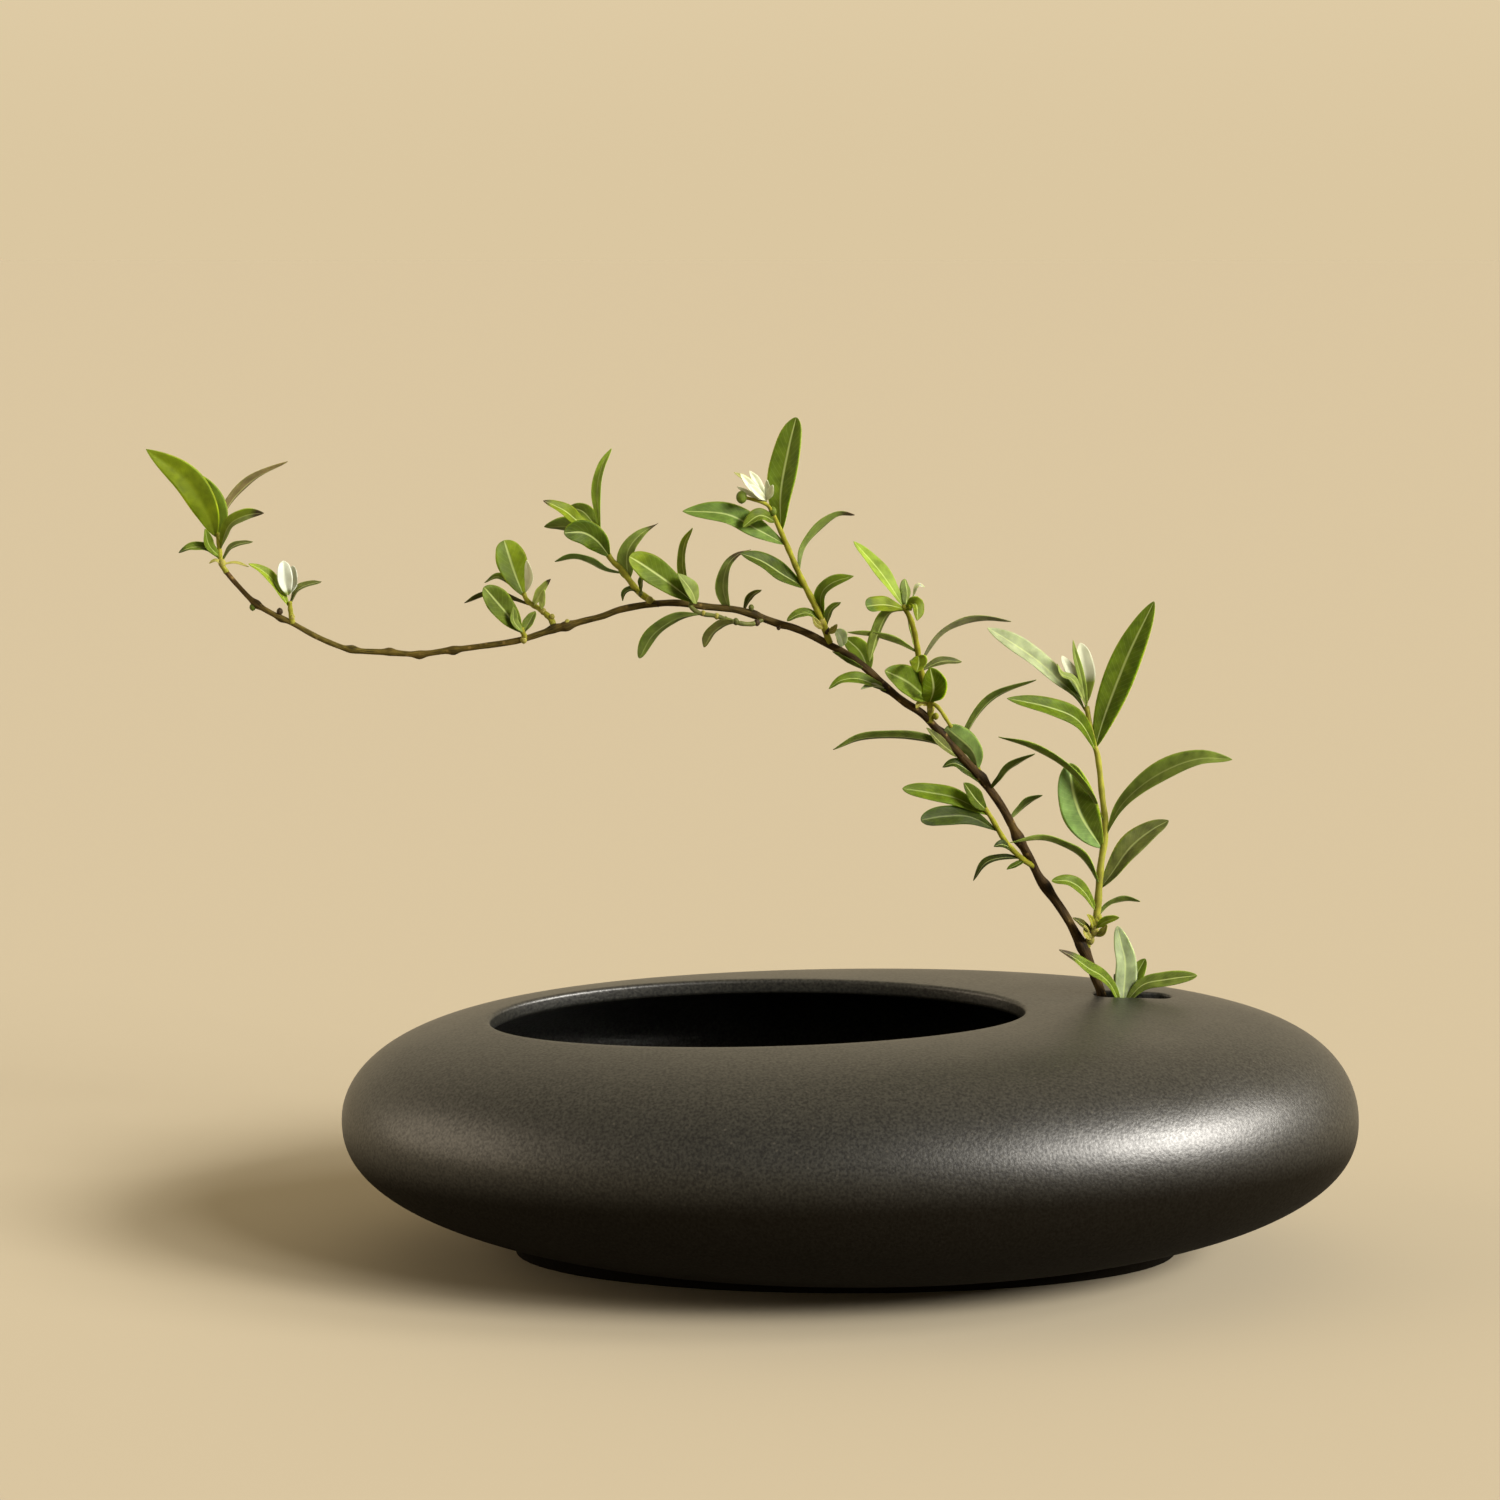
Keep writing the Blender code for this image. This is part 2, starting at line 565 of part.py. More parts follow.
# Forward spray with drooping leaves and a bare side twig.
spray("spray_eight", "LEAF",
      stems=[
          (1.2, 0.8, [(26.5, 5.5, 172.5), (26.5, 4, 178.5), (24.5, 1, 184.5), (22.5, -3.5, 193),
               (22, -5.5, 197), (20.5, -9, 204), (18.5, -11.5, 208.5), (17, -13, 212)]),
          (0.7, 0.6, [(26, 3.5, 179.5), (29, 1.5, 177.5), (33, 1, 171.5)]),
      ],
      blades=[
          ([(17.5, -12.5, 211), (10, -11, 222), (1.5, -8, 231.5)], 6.2, 45),
          ([(17, -13, 211.5), (18, -10.5, 215.5), (17.5, -8.5, 220)], 4.6, 140),
          ([(17.5, -13, 211), (11, -17.5, 212.5), (5, -22, 212.5)], 6.2, 40),
          ([(17.5, -13, 211), (20.5, -16, 212.5), (21, -18.5, 207.5)], 5.4, 40),
          ([(17.5, -12.5, 210.5), (12, -13.5, 209.5), (8.5, -12.5, 203.5),
            (6.5, -10.5, 194)], 5.6, 135),
          ([(18, -12, 210), (19.5, -6.5, 204), (21, -3, 198)], 4, 55),
          ([(22, -5, 196.5), (14, -9.5, 200.5), (8.5, -12, 202), (-0.5, -15, 204)], 4.4, 125),
          ([(22.5, -3, 192.5), (29, 0.5, 201), (36, 3.5, 204.5), (43.5, 5.5, 205.5),
            (52, 7.5, 204.5)], 4.6, 125),
          ([(23, -2, 190), (29.5, 1.5, 192.5), (36.5, 5, 192)], 3.8, 50),
          ([(22, -4.5, 195.5), (22, -9.5, 193), (21.5, -13, 191)], 6, 20),
          ([(26, 3, 180), (19, -3, 186.5), (11.5, -8, 190.5)], 9, 30),
          ([(26, 3.5, 179.5), (26, -3.5, 185.5), (24, -8.5, 192)], 7.5, 30),
      ])

# Long narrow leaf reaching left, with a short one beside it.
spray("pair_bd", "LEAF",
      blades=[
          ([(36.5, 9, 160.5), (29, 6, 165.5), (21, 3, 168), (12.5, 0, 169), (3.5, -2.5, 168.5),
            (-4.5, -5, 165)], 5, 125),
          ([(36.5, 9, 160.5), (30.5, 4.5, 165.5), (25, 2.5, 171.5)], 4, 45),
      ])

# Broad leaf to the right of the branch, with a narrow one behind it.
spray("pair_bf", "LEAF",
      stems=[
          (0.9, 0.8, [(44, 11, 152.5), (43.5, 11.5, 154.5), (42, 11.5, 157)]),
      ],
      blades=[
          ([(42.5, 11.5, 156), (40, 8, 163), (31.5, 5.5, 171)], 8, 165),
          ([(42.5, 11.5, 156), (39, 13.5, 164), (39.5, 15, 169.5), (47, 16, 179),
            (61, 16.5, 184.5)], 4.6, 120),
      ])

# Small leaf left of the branch.
spray("leaf_bi", "LEAF",
      blades=[
          ([(45, 11.5, 151), (39, 9.5, 156), (34.5, 8, 159), (30.5, 7, 158)], 5, 45),
      ])

# Narrow leaf right of the branch.
spray("leaf_bh", "LEAF",
      blades=[
          ([(46, 12, 150), (49, 8, 153.5), (52.5, 4, 158.5), (59.5, 0, 163.5)], 4.6, 120),
      ])

# Small leaf right of the branch.
spray("leaf_bs", "LEAF",
      blades=[
          ([(52.5, 14.5, 139.5), (56, 17, 142), (59, 18.5, 144.5), (64, 20, 146.5)], 4.2, 130),
      ])

# Low spray to the left with two wide leaves.
spray("spray_nine", "LEAF",
      stems=[
          (0.95, 0.8, [(61, 17, 124), (57, 13, 127), (51.5, 9.5, 133), (46.5, 6, 141.5), (44, 5, 145)]),
      ],
      blades=[
          ([(46, 6, 142), (35, 2, 148.5), (26.5, 0, 150.5), (17.5, -3, 152.5)], 6.5, 30),
          ([(49, 8, 136.5), (39.5, 3, 142), (31, -1, 143.5), (23.5, -5, 142.5)], 7, 25),
          ([(45, 5, 144), (41, 2, 148.5), (37, -1, 154)], 6, 35),
          ([(53.5, 11, 130.5), (50.5, 7, 132.5), (47, 5, 132.5)], 3.4, 45),
          ([(56.5, 13, 127), (50.5, 10, 128), (45, 7, 126.5), (40.5, 4, 121.5)], 3.8, 60),
          ([(57.5, 13.5, 126.5), (54.5, 10, 125.5), (51.5, 8, 124.5)], 2.6, 55),
      ])

# Tallest spray, rising straight from the foot of the branch.
spray("spray_ten", "LEAF",
      stems=[
          (1.35, 0.85, [(77.5, 19, 94.5), (80, 19.5, 100.5), (82, 20, 107.5), (83, 22, 122.5),
               (85, 24, 134.5), (83.5, 25, 146), (82, 26, 158), (80.5, 26.5, 163.5), (78.5, 27, 174.5)]),
      ],
      blades=[
          ([(81.5, 26.5, 161), (83.5, 26, 169.5), (87, 24.5, 180.5), (91.5, 22.5, 193.5),
            (99, 20, 210)], 9.6, 10),
          ([(82, 26, 159.5), (75.5, 22, 170.5), (66, 18, 175.5), (51.5, 13, 179)], 7, 35),
          ([(78.5, 27, 172.5), (74.5, 27, 178.5), (70, 28.5, 183), (62, 30, 189.5), (54, 31, 195),
            (46, 32, 200)], 7, 40),
          ([(78.5, 27, 173), (77, 23, 185), (75, 21.5, 192), (73.5, 21, 197.5)], 4.4, 45),
          ([(78.5, 27, 174), (74, 22.5, 183.5), (69.5, 20.5, 186), (68, 19.5, 189.5)], 3.4, 50),
          ([(84.5, 23.5, 132), (89, 22, 142), (96, 19, 150), (104.5, 16, 156), (114, 13, 159.5),
            (124, 10, 160)], 7.4, 45),
          ([(82.5, 21, 115), (86.5, 23, 120), (93, 26, 128), (99.5, 29, 133),
            (106, 31, 136.5)], 7.6, 35),
          ([(83.5, 23, 128.5), (77.5, 17.5, 140), (74, 13.5, 149.5), (71.5, 11.5, 158.5)], 10.6, 0),
          ([(84.5, 24, 138), (78.5, 12.5, 148), (70.5, 8.5, 157.5), (59.5, 8, 164),
            (48.5, 8.5, 167.5)], 5.4, 120),
          ([(83, 21, 117), (76.5, 14, 127), (69.5, 8.5, 132), (62, 3.5, 135),
            (52, -1.5, 135)], 5.4, 125),
          ([(82, 20, 108), (77, 16, 115.5), (72, 13, 119.5), (66.5, 11, 120)], 5.2, 45),
          ([(82, 20, 106), (86, 23, 110), (91.5, 26, 110.5), (97, 28, 110)], 4.2, 125),
          ([(81.5, 19.5, 103), (84.5, 16, 105.5), (88.5, 13, 107.5)], 3.8, 55),
          ([(80.5, 19.5, 101), (77.5, 15.5, 104.5), (73.5, 13.5, 107.5)], 3.2, 50),
      ])

# Flower buds at the top of the tallest spray: three petals joined at the foot.
spray("bloom_ten", "PETAL",
      blades=[
          ([(79, 28.5, 175.5), (80, 31.5, 185.5), (77.5, 32.5, 195)], 3.6, 25),
          ([(79, 28.5, 175.5), (76, 31, 184), (70.5, 31, 192.5)], 3.6, 25),
          ([(79, 29, 175.5), (77, 33.5, 185), (74.5, 35.5, 191.5)], 3.2, 25),
      ])

# Young shoot that comes out of the vase beside the branch.
spray("spray_hole", "LEAF",
      stems=[
          (1.1, 0.9, [(94, 15.5, 66.5), (92.5, 17, 72), (91, 18, 78)]),
      ],
      blades=[
          ([(90.5, 17.5, 76.5), (87, 14.5, 84), (83, 11.5, 88.5), (78.5, 8.5, 91.5),
            (73.5, 6.5, 95.5), (68.5, 4.5, 98.5)], 5, 45),
          ([(90.5, 18, 76.5), (91.5, 19, 90.5), (90, 20, 97), (88.5, 21, 103)], 7.5, 180),
          ([(90.5, 18, 77), (94.5, 21.5, 86), (98, 24.5, 91.5)], 5.4, 135),
          ([(90.5, 18, 77), (97, 17, 84), (104.5, 15, 86.5), (114, 13, 88.5)], 5.4, 30),
          ([(90.5, 18.5, 76.5), (89.5, 20, 83), (88, 22, 87)], 4.4, 40),
      ])
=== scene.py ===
import math

import bmesh
import bpy
import numpy as np
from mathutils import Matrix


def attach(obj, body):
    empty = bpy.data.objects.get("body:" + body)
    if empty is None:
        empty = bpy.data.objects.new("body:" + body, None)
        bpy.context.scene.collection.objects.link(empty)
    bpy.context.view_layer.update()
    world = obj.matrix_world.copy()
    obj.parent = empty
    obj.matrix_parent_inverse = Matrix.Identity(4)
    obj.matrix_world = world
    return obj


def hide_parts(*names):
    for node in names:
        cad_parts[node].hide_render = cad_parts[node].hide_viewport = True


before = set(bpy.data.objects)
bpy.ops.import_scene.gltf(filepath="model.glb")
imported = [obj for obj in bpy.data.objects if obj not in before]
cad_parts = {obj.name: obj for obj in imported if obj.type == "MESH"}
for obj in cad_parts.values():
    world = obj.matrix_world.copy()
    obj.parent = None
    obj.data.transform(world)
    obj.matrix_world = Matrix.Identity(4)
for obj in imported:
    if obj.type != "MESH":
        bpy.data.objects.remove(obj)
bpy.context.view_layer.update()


# The viewpoint: a long lens a little above the table, looking slightly down over the
# front of the vase, level from side to side.
def shown(name, data):
    """New object that shows the data, in the scene."""
    made = bpy.data.objects.new(name, data)
    bpy.context.scene.collection.objects.link(made)
    return made


MM = 0.001  # of a metre: shapes are worked out in millimetres
EYE = (-31.0, -1113.5, 330.4)
LOOK_DOWN = math.radians(8.48)
lens = bpy.data.cameras.new("camera")
lens.lens, lens.sensor_width = 85, 36
lens.clip_start, lens.clip_end = 0.05, 100
camera = shown("camera", lens)
camera.location = [v * MM for v in EYE]
camera.rotation_euler = (math.pi / 2 - LOOK_DOWN, 0, 0)
bpy.context.scene.camera = camera


# The stage: a plain pale floor of matte paper that meets the surround without an edge in
# sight. Three broad even lights stand low on the right, from the front round to the side,
# and a weak one on the left. The surround is brighter overhead and towards the back.
def linear(colour):
    """Linear RGBA of an sRGB hex colour."""
    parts = [int(colour[k:k + 2], 16) / 255 for k in (0, 2, 4)]
    return tuple(p / 12.92 if p <= 0.04045 else ((p + 0.055) / 1.055) ** 2.4 for p in parts) + (1.0,)


def add(tree, kind, inputs=None, **settings):
    """Adds a shader node, or takes the one given, and sets its properties and its inputs.

    An input is a value, an output of another node, or that node, for its first output in use.
    """
    made = tree.nodes.new("ShaderNode" + kind) if isinstance(kind, str) else kind
    for name, value in settings.items():
        setattr(made, name, value)
    for name, given in (inputs or {}).items():
        if isinstance(given, bpy.types.Node):
            given = next(output for output in given.outputs if output.enabled)
        if isinstance(given, bpy.types.NodeSocket):
            tree.links.new(given, made.inputs[name])
        else:
            made.inputs[name].default_value = given
    return made


def empty_material(name):
    """New material with its nodes and its shader, and nothing else."""
    made = bpy.data.materials.new(name)
    made.use_nodes = True
    return made, made.node_tree, made.node_tree.nodes["Principled BSDF"]


def broad_sun(name, turn, lift, spread, strength, colour):
    """Even light from one side: turned about the vertical, lifted above level, as a soft disc."""
    light = bpy.data.lights.new(name, "SUN")
    light.energy = strength
    light.angle = math.radians(spread)
    light.color = linear(colour)[:3]
    shown(name, light).rotation_euler = (0, math.radians(90 - lift), math.radians(turn))


FAR = 30
floor_mesh = bpy.data.meshes.new("floor")
floor_mesh.from_pydata([(-FAR, -FAR, 0), (FAR, -FAR, 0), (FAR, FAR, 0), (-FAR, FAR, 0)], [], [(0, 1, 2, 3)])
paper, tree, shader = empty_material("pale matte paper")
add(tree, shader, {"Base Color": linear("9c9380"), "Roughness": 1.0, "Specular IOR Level": 0.0})
floor_mesh.materials.append(paper)
shown("floor", floor_mesh)
broad_sun("key_front", -45, 28, 16, 2.3, "fffaf2")
broad_sun("key", -28, 25.5, 17, 5.5, "fffaf2")
broad_sun("key_side", -8, 30, 16, 1.7, "fffaf2")
broad_sun("fill", 188, 16, 50, 1.5, "ffecd0")
world = bpy.data.worlds.new("surround")
world.use_nodes = True
sky = world.node_tree
way = add(sky, "TexCoord").outputs["Generated"]
up = add(sky, "SeparateXYZ", {"Vector": way}).outputs["Z"]
back = add(sky, "VectorMath", {0: way, 1: (0.25, 1, 0)}, operation="DOT_PRODUCT")
depth = add(sky, "MapRange", {"From Min": -0.7, "From Max": 0.5, "Value": back},
            interpolation_type="SMOOTHSTEP")
share = add(sky, "MapRange", {"From Max": 0.3, "Value": up}, interpolation_type="SMOOTHSTEP")
upper = add(sky, "Mix", {"Factor": depth, "A": linear("817765"), "B": linear("f7e5c1")}, data_type="RGBA")
dome = add(sky, "Mix", {"Factor": share, "A": linear("dbc7a1"), "B": upper}, data_type="RGBA")
add(sky, sky.nodes["Background"], {"Strength": 1.0, "Color": dome})
bpy.context.scene.world = world
bpy.context.scene.view_settings.view_transform = "Standard"

# The vase: slip-cast stoneware under a satin charcoal glaze. It is a hollow pebble on a low
# flat foot, with a wide oval mouth and a slot for the stem, both cut through a 5 mm wall and
# softened at the edge before firing.
HALF_LENGTH, HALF_DEPTH, STEP_RIGHT = 163.5, 104.0, 1.1
EQUATOR, RISE, DROP = 45.5, 36.0, 44.7
WALL, INNER_FLOOR = 5.0, 6.0
FOOT_LENGTH, FOOT_DEPTH, FOOT_CHAMFER = 107.0, 47.0, 0.8
MOUTH_X, MOUTH_Y, MOUTH_LENGTH, MOUTH_DEPTH = -28.6, -5.1, 85.5, 46.6
SLOT_X, SLOT_Y, SLOT_LENGTH, SLOT_WIDTH = 93.7, 18.3, 12.6, 5.0
LIP, SLOT_LIP, SLOT_MARGIN = 1.3, 0.9, 4.5
BELLY_OUT, BELLY_DOWN = 2.42, 2.35
SEAM_DROP, NEAR_FOOT = 1.8, 0.035
AROUND, ROWS_UP, ROWS_DOWN, ROWS_INSIDE = 320, 58, 34, 31
CROWDING_UP, CROWDING_DOWN = 2.4, 2.2


def crown(plan, inset=0.0):
    """Upper shell over plan points: height = (1 - reach^flatness)^(1/2) of the rise.

    Reach is the share of the way from the middle to the widest line. The flatness is
    4.66 + 1.11 cos + 1.4 cos^2 of the plan angle, so the top is flat and the right end blunt.
    """
    x, y = plan[..., 0], plan[..., 1]
    px, py = (x - STEP_RIGHT) / (HALF_LENGTH - inset), y / (HALF_DEPTH - inset)
    reach = np.clip(np.hypot(px, py), 1e-9, 1)
    cosine = px / reach
    height = np.sqrt(1 - reach ** (4.66 + 1.11 * cosine + 1.4 * cosine ** 2))
    return np.stack([x, y, EQUATOR + (RISE - inset) * height], -1)


def belly(plan, inset=0.0):
    """Lower shell under plan points: height = (1 - reach^2.42)^(1/2.35) of the drop."""
    x, y = plan[..., 0], plan[..., 1]
    drop = DROP if inset == 0 else EQUATOR - INNER_FLOOR - (inset - WALL)
    reach = np.clip(np.hypot((x - STEP_RIGHT) / (HALF_LENGTH - inset), y / (HALF_DEPTH - inset)), 0, 1)
    return np.stack([x, y, EQUATOR - drop * (1 - reach ** BELLY_OUT) ** (1 / BELLY_DOWN)], -1)


def ellipse(x, y, half_length, half_depth, turns):
    """Plan points of an ellipse, and its outward directions."""
    place = np.stack([x + half_length * np.cos(turns), y + half_depth * np.sin(turns)], -1)
    out = np.stack([half_depth * np.cos(turns), half_length * np.sin(turns)], -1)
    return place, out / np.linalg.norm(out, axis=-1, keepdims=True)


turns = np.arange(AROUND) * 2 * math.pi / AROUND
edge, edge_out = ellipse(MOUTH_X, MOUTH_Y, MOUTH_LENGTH, MOUTH_DEPTH, turns)


def shell_rows(inset):
    """Rows of one skin from the mouth's lip to the widest line, closer together near it."""
    start = edge + edge_out * LIP
    widest, _ = ellipse(STEP_RIGHT, 0, HALF_LENGTH - inset, HALF_DEPTH - inset, turns)
    steps = np.linspace(0, 1, ROWS_UP)[:, None, None]
    return crown(start + (widest - start) * (1 - (1 - steps) ** CROWDING_UP), inset)


def lip_rows(upper, lower, at, out, radius):
    """Rounded edge from the outer skin over a wall to the inner skin: two quarter circles."""
    bend = np.linspace(0, math.pi / 2, 8)[1:, None]
    rows = []
    for skin, side, angles in ((upper, -1, bend), (lower, 1, bend[::-1])):
        for a in angles:
            height = skin[:, 2] + side * radius * (1 - np.cos(a))
            rows.append(np.column_stack([at + out * radius * (1 - np.sin(a)), height]))
    return np.array(rows)


def bands(number):
    """Quads between the rows of a grid of point numbers, each row closed round."""
    after = np.roll(number, -1, axis=1)
    return np.stack([number[:-1], after[:-1], after[1:], number[1:]], -1)


def fan(row, pole):
    """Triangles from a closed row of point numbers to its pole."""
    return np.stack([np.roll(row, -1), row, np.full(len(row), pole)], -1)


outer, inner = shell_rows(0.0), shell_rows(WALL)
lip = lip_rows(outer[0], inner[0], edge, edge_out, LIP)
foot, _ = ellipse(0, 0, FOOT_LENGTH, FOOT_DEPTH, turns)
widest, _ = ellipse(STEP_RIGHT, 0, HALF_LENGTH, HALF_DEPTH, turns)
down = np.linspace(0, 1, ROWS_DOWN)[1:, None, None] ** CROWDING_DOWN
near_foot = foot + (widest - foot) * NEAR_FOOT
under = belly(widest + (near_foot - widest) * down)
corner = belly(foot)
seam_low = np.column_stack([foot, corner[:, 2] - SEAM_DROP])
t = np.linspace(0, 1, 7)[1:, None, None]
fillet = (1 - t) ** 2 * under[-1] + 2 * t * (1 - t) * corner + t ** 2 * seam_low
base = []
for a in np.linspace(0, math.pi / 2, 6):
    cut = FOOT_CHAMFER * (1 - math.cos(a))
    inward, _ = ellipse(0, 0, FOOT_LENGTH - cut, FOOT_DEPTH - cut, turns)
    base.append(np.column_stack([inward, np.full(AROUND, FOOT_CHAMFER * (1 - math.sin(a)))]))
for part in (0.6, 0.25):
    base.append(np.column_stack([foot * part, np.zeros(AROUND)]))
hollow_reach = np.cos(np.linspace(0, math.pi / 2, ROWS_INSIDE)[1:-1]) ** (2 / BELLY_OUT)
inside_edge, _ = ellipse(0, 0, HALF_LENGTH - WALL, HALF_DEPTH - WALL, turns)
hollow = belly(inside_edge * hollow_reach[:, None, None] + (STEP_RIGHT, 0), WALL)

# One closed skin: up the inside from the floor, over the lip and down the outside to the base.
rows = np.concatenate([hollow[::-1], inner[::-1], lip[::-1], outer, under, fillet, np.array(base)])
places = rows.reshape(-1, 3)
number = np.arange(len(places)).reshape(-1, AROUND)
quads = bands(number)
last_inner = len(hollow) + len(inner) - 1
outer_start = last_inner + 1 + len(lip)

# The slot: the same block of rows and columns is taken out of both skins, and a ring of the
# slot's own shape, with its softened edge, is set into the gap.
in_block = ((np.abs(outer[..., 0] - SLOT_X) < SLOT_LENGTH + SLOT_MARGIN)
            & (np.abs(outer[..., 1] - SLOT_Y) < SLOT_WIDTH + SLOT_MARGIN))
block_rows = np.flatnonzero(in_block.any(axis=1))
block_columns = np.flatnonzero(in_block.any(axis=0))
r0, r1 = block_rows.min(), block_rows.max()
c0, c1 = block_columns.min(), block_columns.max()
loop = np.array([(r0, c) for c in range(c0, c1)] + [(r, c1) for r in range(r0, r1)]
                + [(r1, c) for c in range(c1, c0, -1)] + [(r, c0) for r in range(r1, r0, -1)])
outer_loop = number[outer_start + loop[:, 0], loop[:, 1]]
inner_loop = number[last_inner - loop[:, 0], loop[:, 1]]
keep = np.ones(quads.shape[:2], bool)
keep[outer_start + r0:outer_start + r1, c0:c1] = False
keep[last_inner - r1:last_inner - r0, c0:c1] = False


def slot_outline(points):
    """Where the ray from the slot's middle through each point meets straight sides and round ends."""
    ray = points - (SLOT_X, SLOT_Y)
    ray = ray / np.linalg.norm(ray, axis=1, keepdims=True)
    straight = SLOT_LENGTH - SLOT_WIDTH
    side = SLOT_WIDTH / np.maximum(np.abs(ray[:, 1]), 1e-9)
    along = straight * np.abs(ray[:, 0])
    end = along + np.sqrt(np.maximum(along ** 2 - straight ** 2 + SLOT_WIDTH ** 2, 0))
    distance = np.where(side * np.abs(ray[:, 0]) <= straight, side, end)
    place = ray * distance[:, None]
    core = np.column_stack([np.clip(place[:, 0], -straight, straight), np.zeros(len(place))])
    out = (place - core) / np.linalg.norm(place - core, axis=1, keepdims=True)
    return place + (SLOT_X, SLOT_Y), out


rim, rim_out = slot_outline(places[outer_loop, :2])


def skin_rings(border, inset):
    """Rings on one skin from the gap's border to the slot's softened edge."""
    target = rim + rim_out * SLOT_LIP
    return np.array([crown(border[:, :2] + (target - border[:, :2]) * part, inset)
                     for part in (0.25, 0.5, 0.75, 1.0)])


outer_rings = skin_rings(places[outer_loop], 0.0)
inner_rings = skin_rings(places[inner_loop], WALL)
slot_lip = lip_rows(outer_rings[-1], inner_rings[-1], rim, rim_out, SLOT_LIP)
slot_rows = np.concatenate([outer_rings, slot_lip, inner_rings[::-1]])
slot_number = len(places) + np.arange(slot_rows.size // 3).reshape(-1, len(loop))
slot_number = np.vstack([outer_loop, slot_number, inner_loop])
places = np.concatenate([places, slot_rows.reshape(-1, 3), [(0, 0, INNER_FLOOR), (0, 0, 0)]])


def closed_mesh(name, points, blocks):
    """Smooth object from millimetre points and blocks of faces, unused points dropped, normals outward."""
    mesh = bpy.data.meshes.new(name)
    faces = [face for block in blocks for face in block.reshape(-1, block.shape[-1]).tolist()]
    mesh.from_pydata((points * MM).tolist(), [], faces)
    shaper = bmesh.new()
    shaper.from_mesh(mesh)
    loose = [v for v in shaper.verts if not v.link_faces]
    bmesh.ops.delete(shaper, geom=loose, context="VERTS")
    bmesh.ops.recalc_face_normals(shaper, faces=shaper.faces)
    shaper.to_mesh(mesh)
    shaper.free()
    mesh.shade_smooth()
    return shown(name, mesh)


def stands_for(piece, node):
    """The piece rides on the one body there is, in place of its node, which is hidden."""
    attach(piece, "root")
    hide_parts(node)


vase = closed_mesh("pebble_vase", places, [quads[keep], bands(slot_number), fan(number[0], len(places) - 2),
                                           fan(number[-1], len(places) - 1)])

# Satin stoneware glaze, iron-black: a soft sheen, broken by fine matte crystals about 0.9 mm
# across that catch the light as a faint mottle, with a few paler flecks. The lower half has
# painted shade: below a tilted line, lower at the back and on the left, the colour goes to a
# nearly black warm brown, a painted reflection, and the sheen is turned down with it. The
# glaze also grows rougher towards the foot.
NOISE = {"From Min": 0.3, "From Max": 0.7}  # where nearly all of a noise's values lie
glaze, tree, shader = empty_material("satin charcoal glaze")
place = add(tree, "TexCoord").outputs["Object"]
crystals = add(tree, "TexNoise", {"Scale": 1100.0, "Detail": 1.0, "Vector": place})
clouds = add(tree, "TexNoise", {"Scale": 45.0, "Detail": 3.0, "Vector": place})
flecks = add(tree, "TexVoronoi", {"Scale": 260.0, "Vector": place})
tone = add(tree, "MapRange", {**NOISE, "Value": crystals})
mottle = add(tree, "Mix", {"Factor": tone, "A": linear("0b0b0a"), "B": linear("1b1b16")}, data_type="RGBA")
fleck_mask = add(tree, "MapRange", {"From Min": 0.05, "From Max": 0.12, "To Min": 0.35, "To Max": 0.0,
                                    "Value": flecks})
body = add(tree, "Mix", {"Factor": fleck_mask, "A": mottle, "B": linear("4a473f")}, data_type="RGBA")
height = add(tree, "SeparateXYZ", {"Vector": place}).outputs["Z"]
# Painted shade: a height taken along a slightly tilted axis sets where the lower half goes dark.
shade_line_height = add(tree, "VectorMath", {0: place, 1: (-0.02, 0.09, 1)}, operation="DOT_PRODUCT")
painted_low_shade = add(tree, "MapRange", {"From Min": 0.031, "From Max": 0.049, "To Min": 0.1, "Value": shade_line_height},
             interpolation_type="SMOOTHSTEP")
# Painted shade and painted reflection: the lower half takes a nearly black warm brown in place of the glaze
# colour.
skin = add(tree, "Mix", {"Factor": painted_low_shade, "A": linear("0a0703"), "B": body}, data_type="RGBA")
glint = add(tree, "MapRange", {**NOISE, "To Min": 0.44, "To Max": 0.74, "Value": crystals})
# The painted shade also turns the specular level down on the lower half.
sheen = add(tree, "Math", {0: painted_low_shade, 1: glint}, operation="MULTIPLY")
gloss = add(tree, "MapRange", {**NOISE, "To Min": 0.4, "To Max": 0.44, "Value": clouds})
dull = add(tree, "MapRange", {"From Min": 0.012, "From Max": 0.05, "To Min": 0.5, "To Max": 0.0,
                              "Value": height})
rough = add(tree, "Math", {0: gloss, 1: dull}, operation="ADD")
grain = add(tree, "Bump", {"Strength": 0.3, "Distance": 0.0002, "Height": crystals})
add(tree, shader, {"Base Color": skin, "Specular IOR Level": sheen, "Roughness": rough, "Normal": grain})
vase.data.materials.append(glaze)
stands_for(vase, "vase")

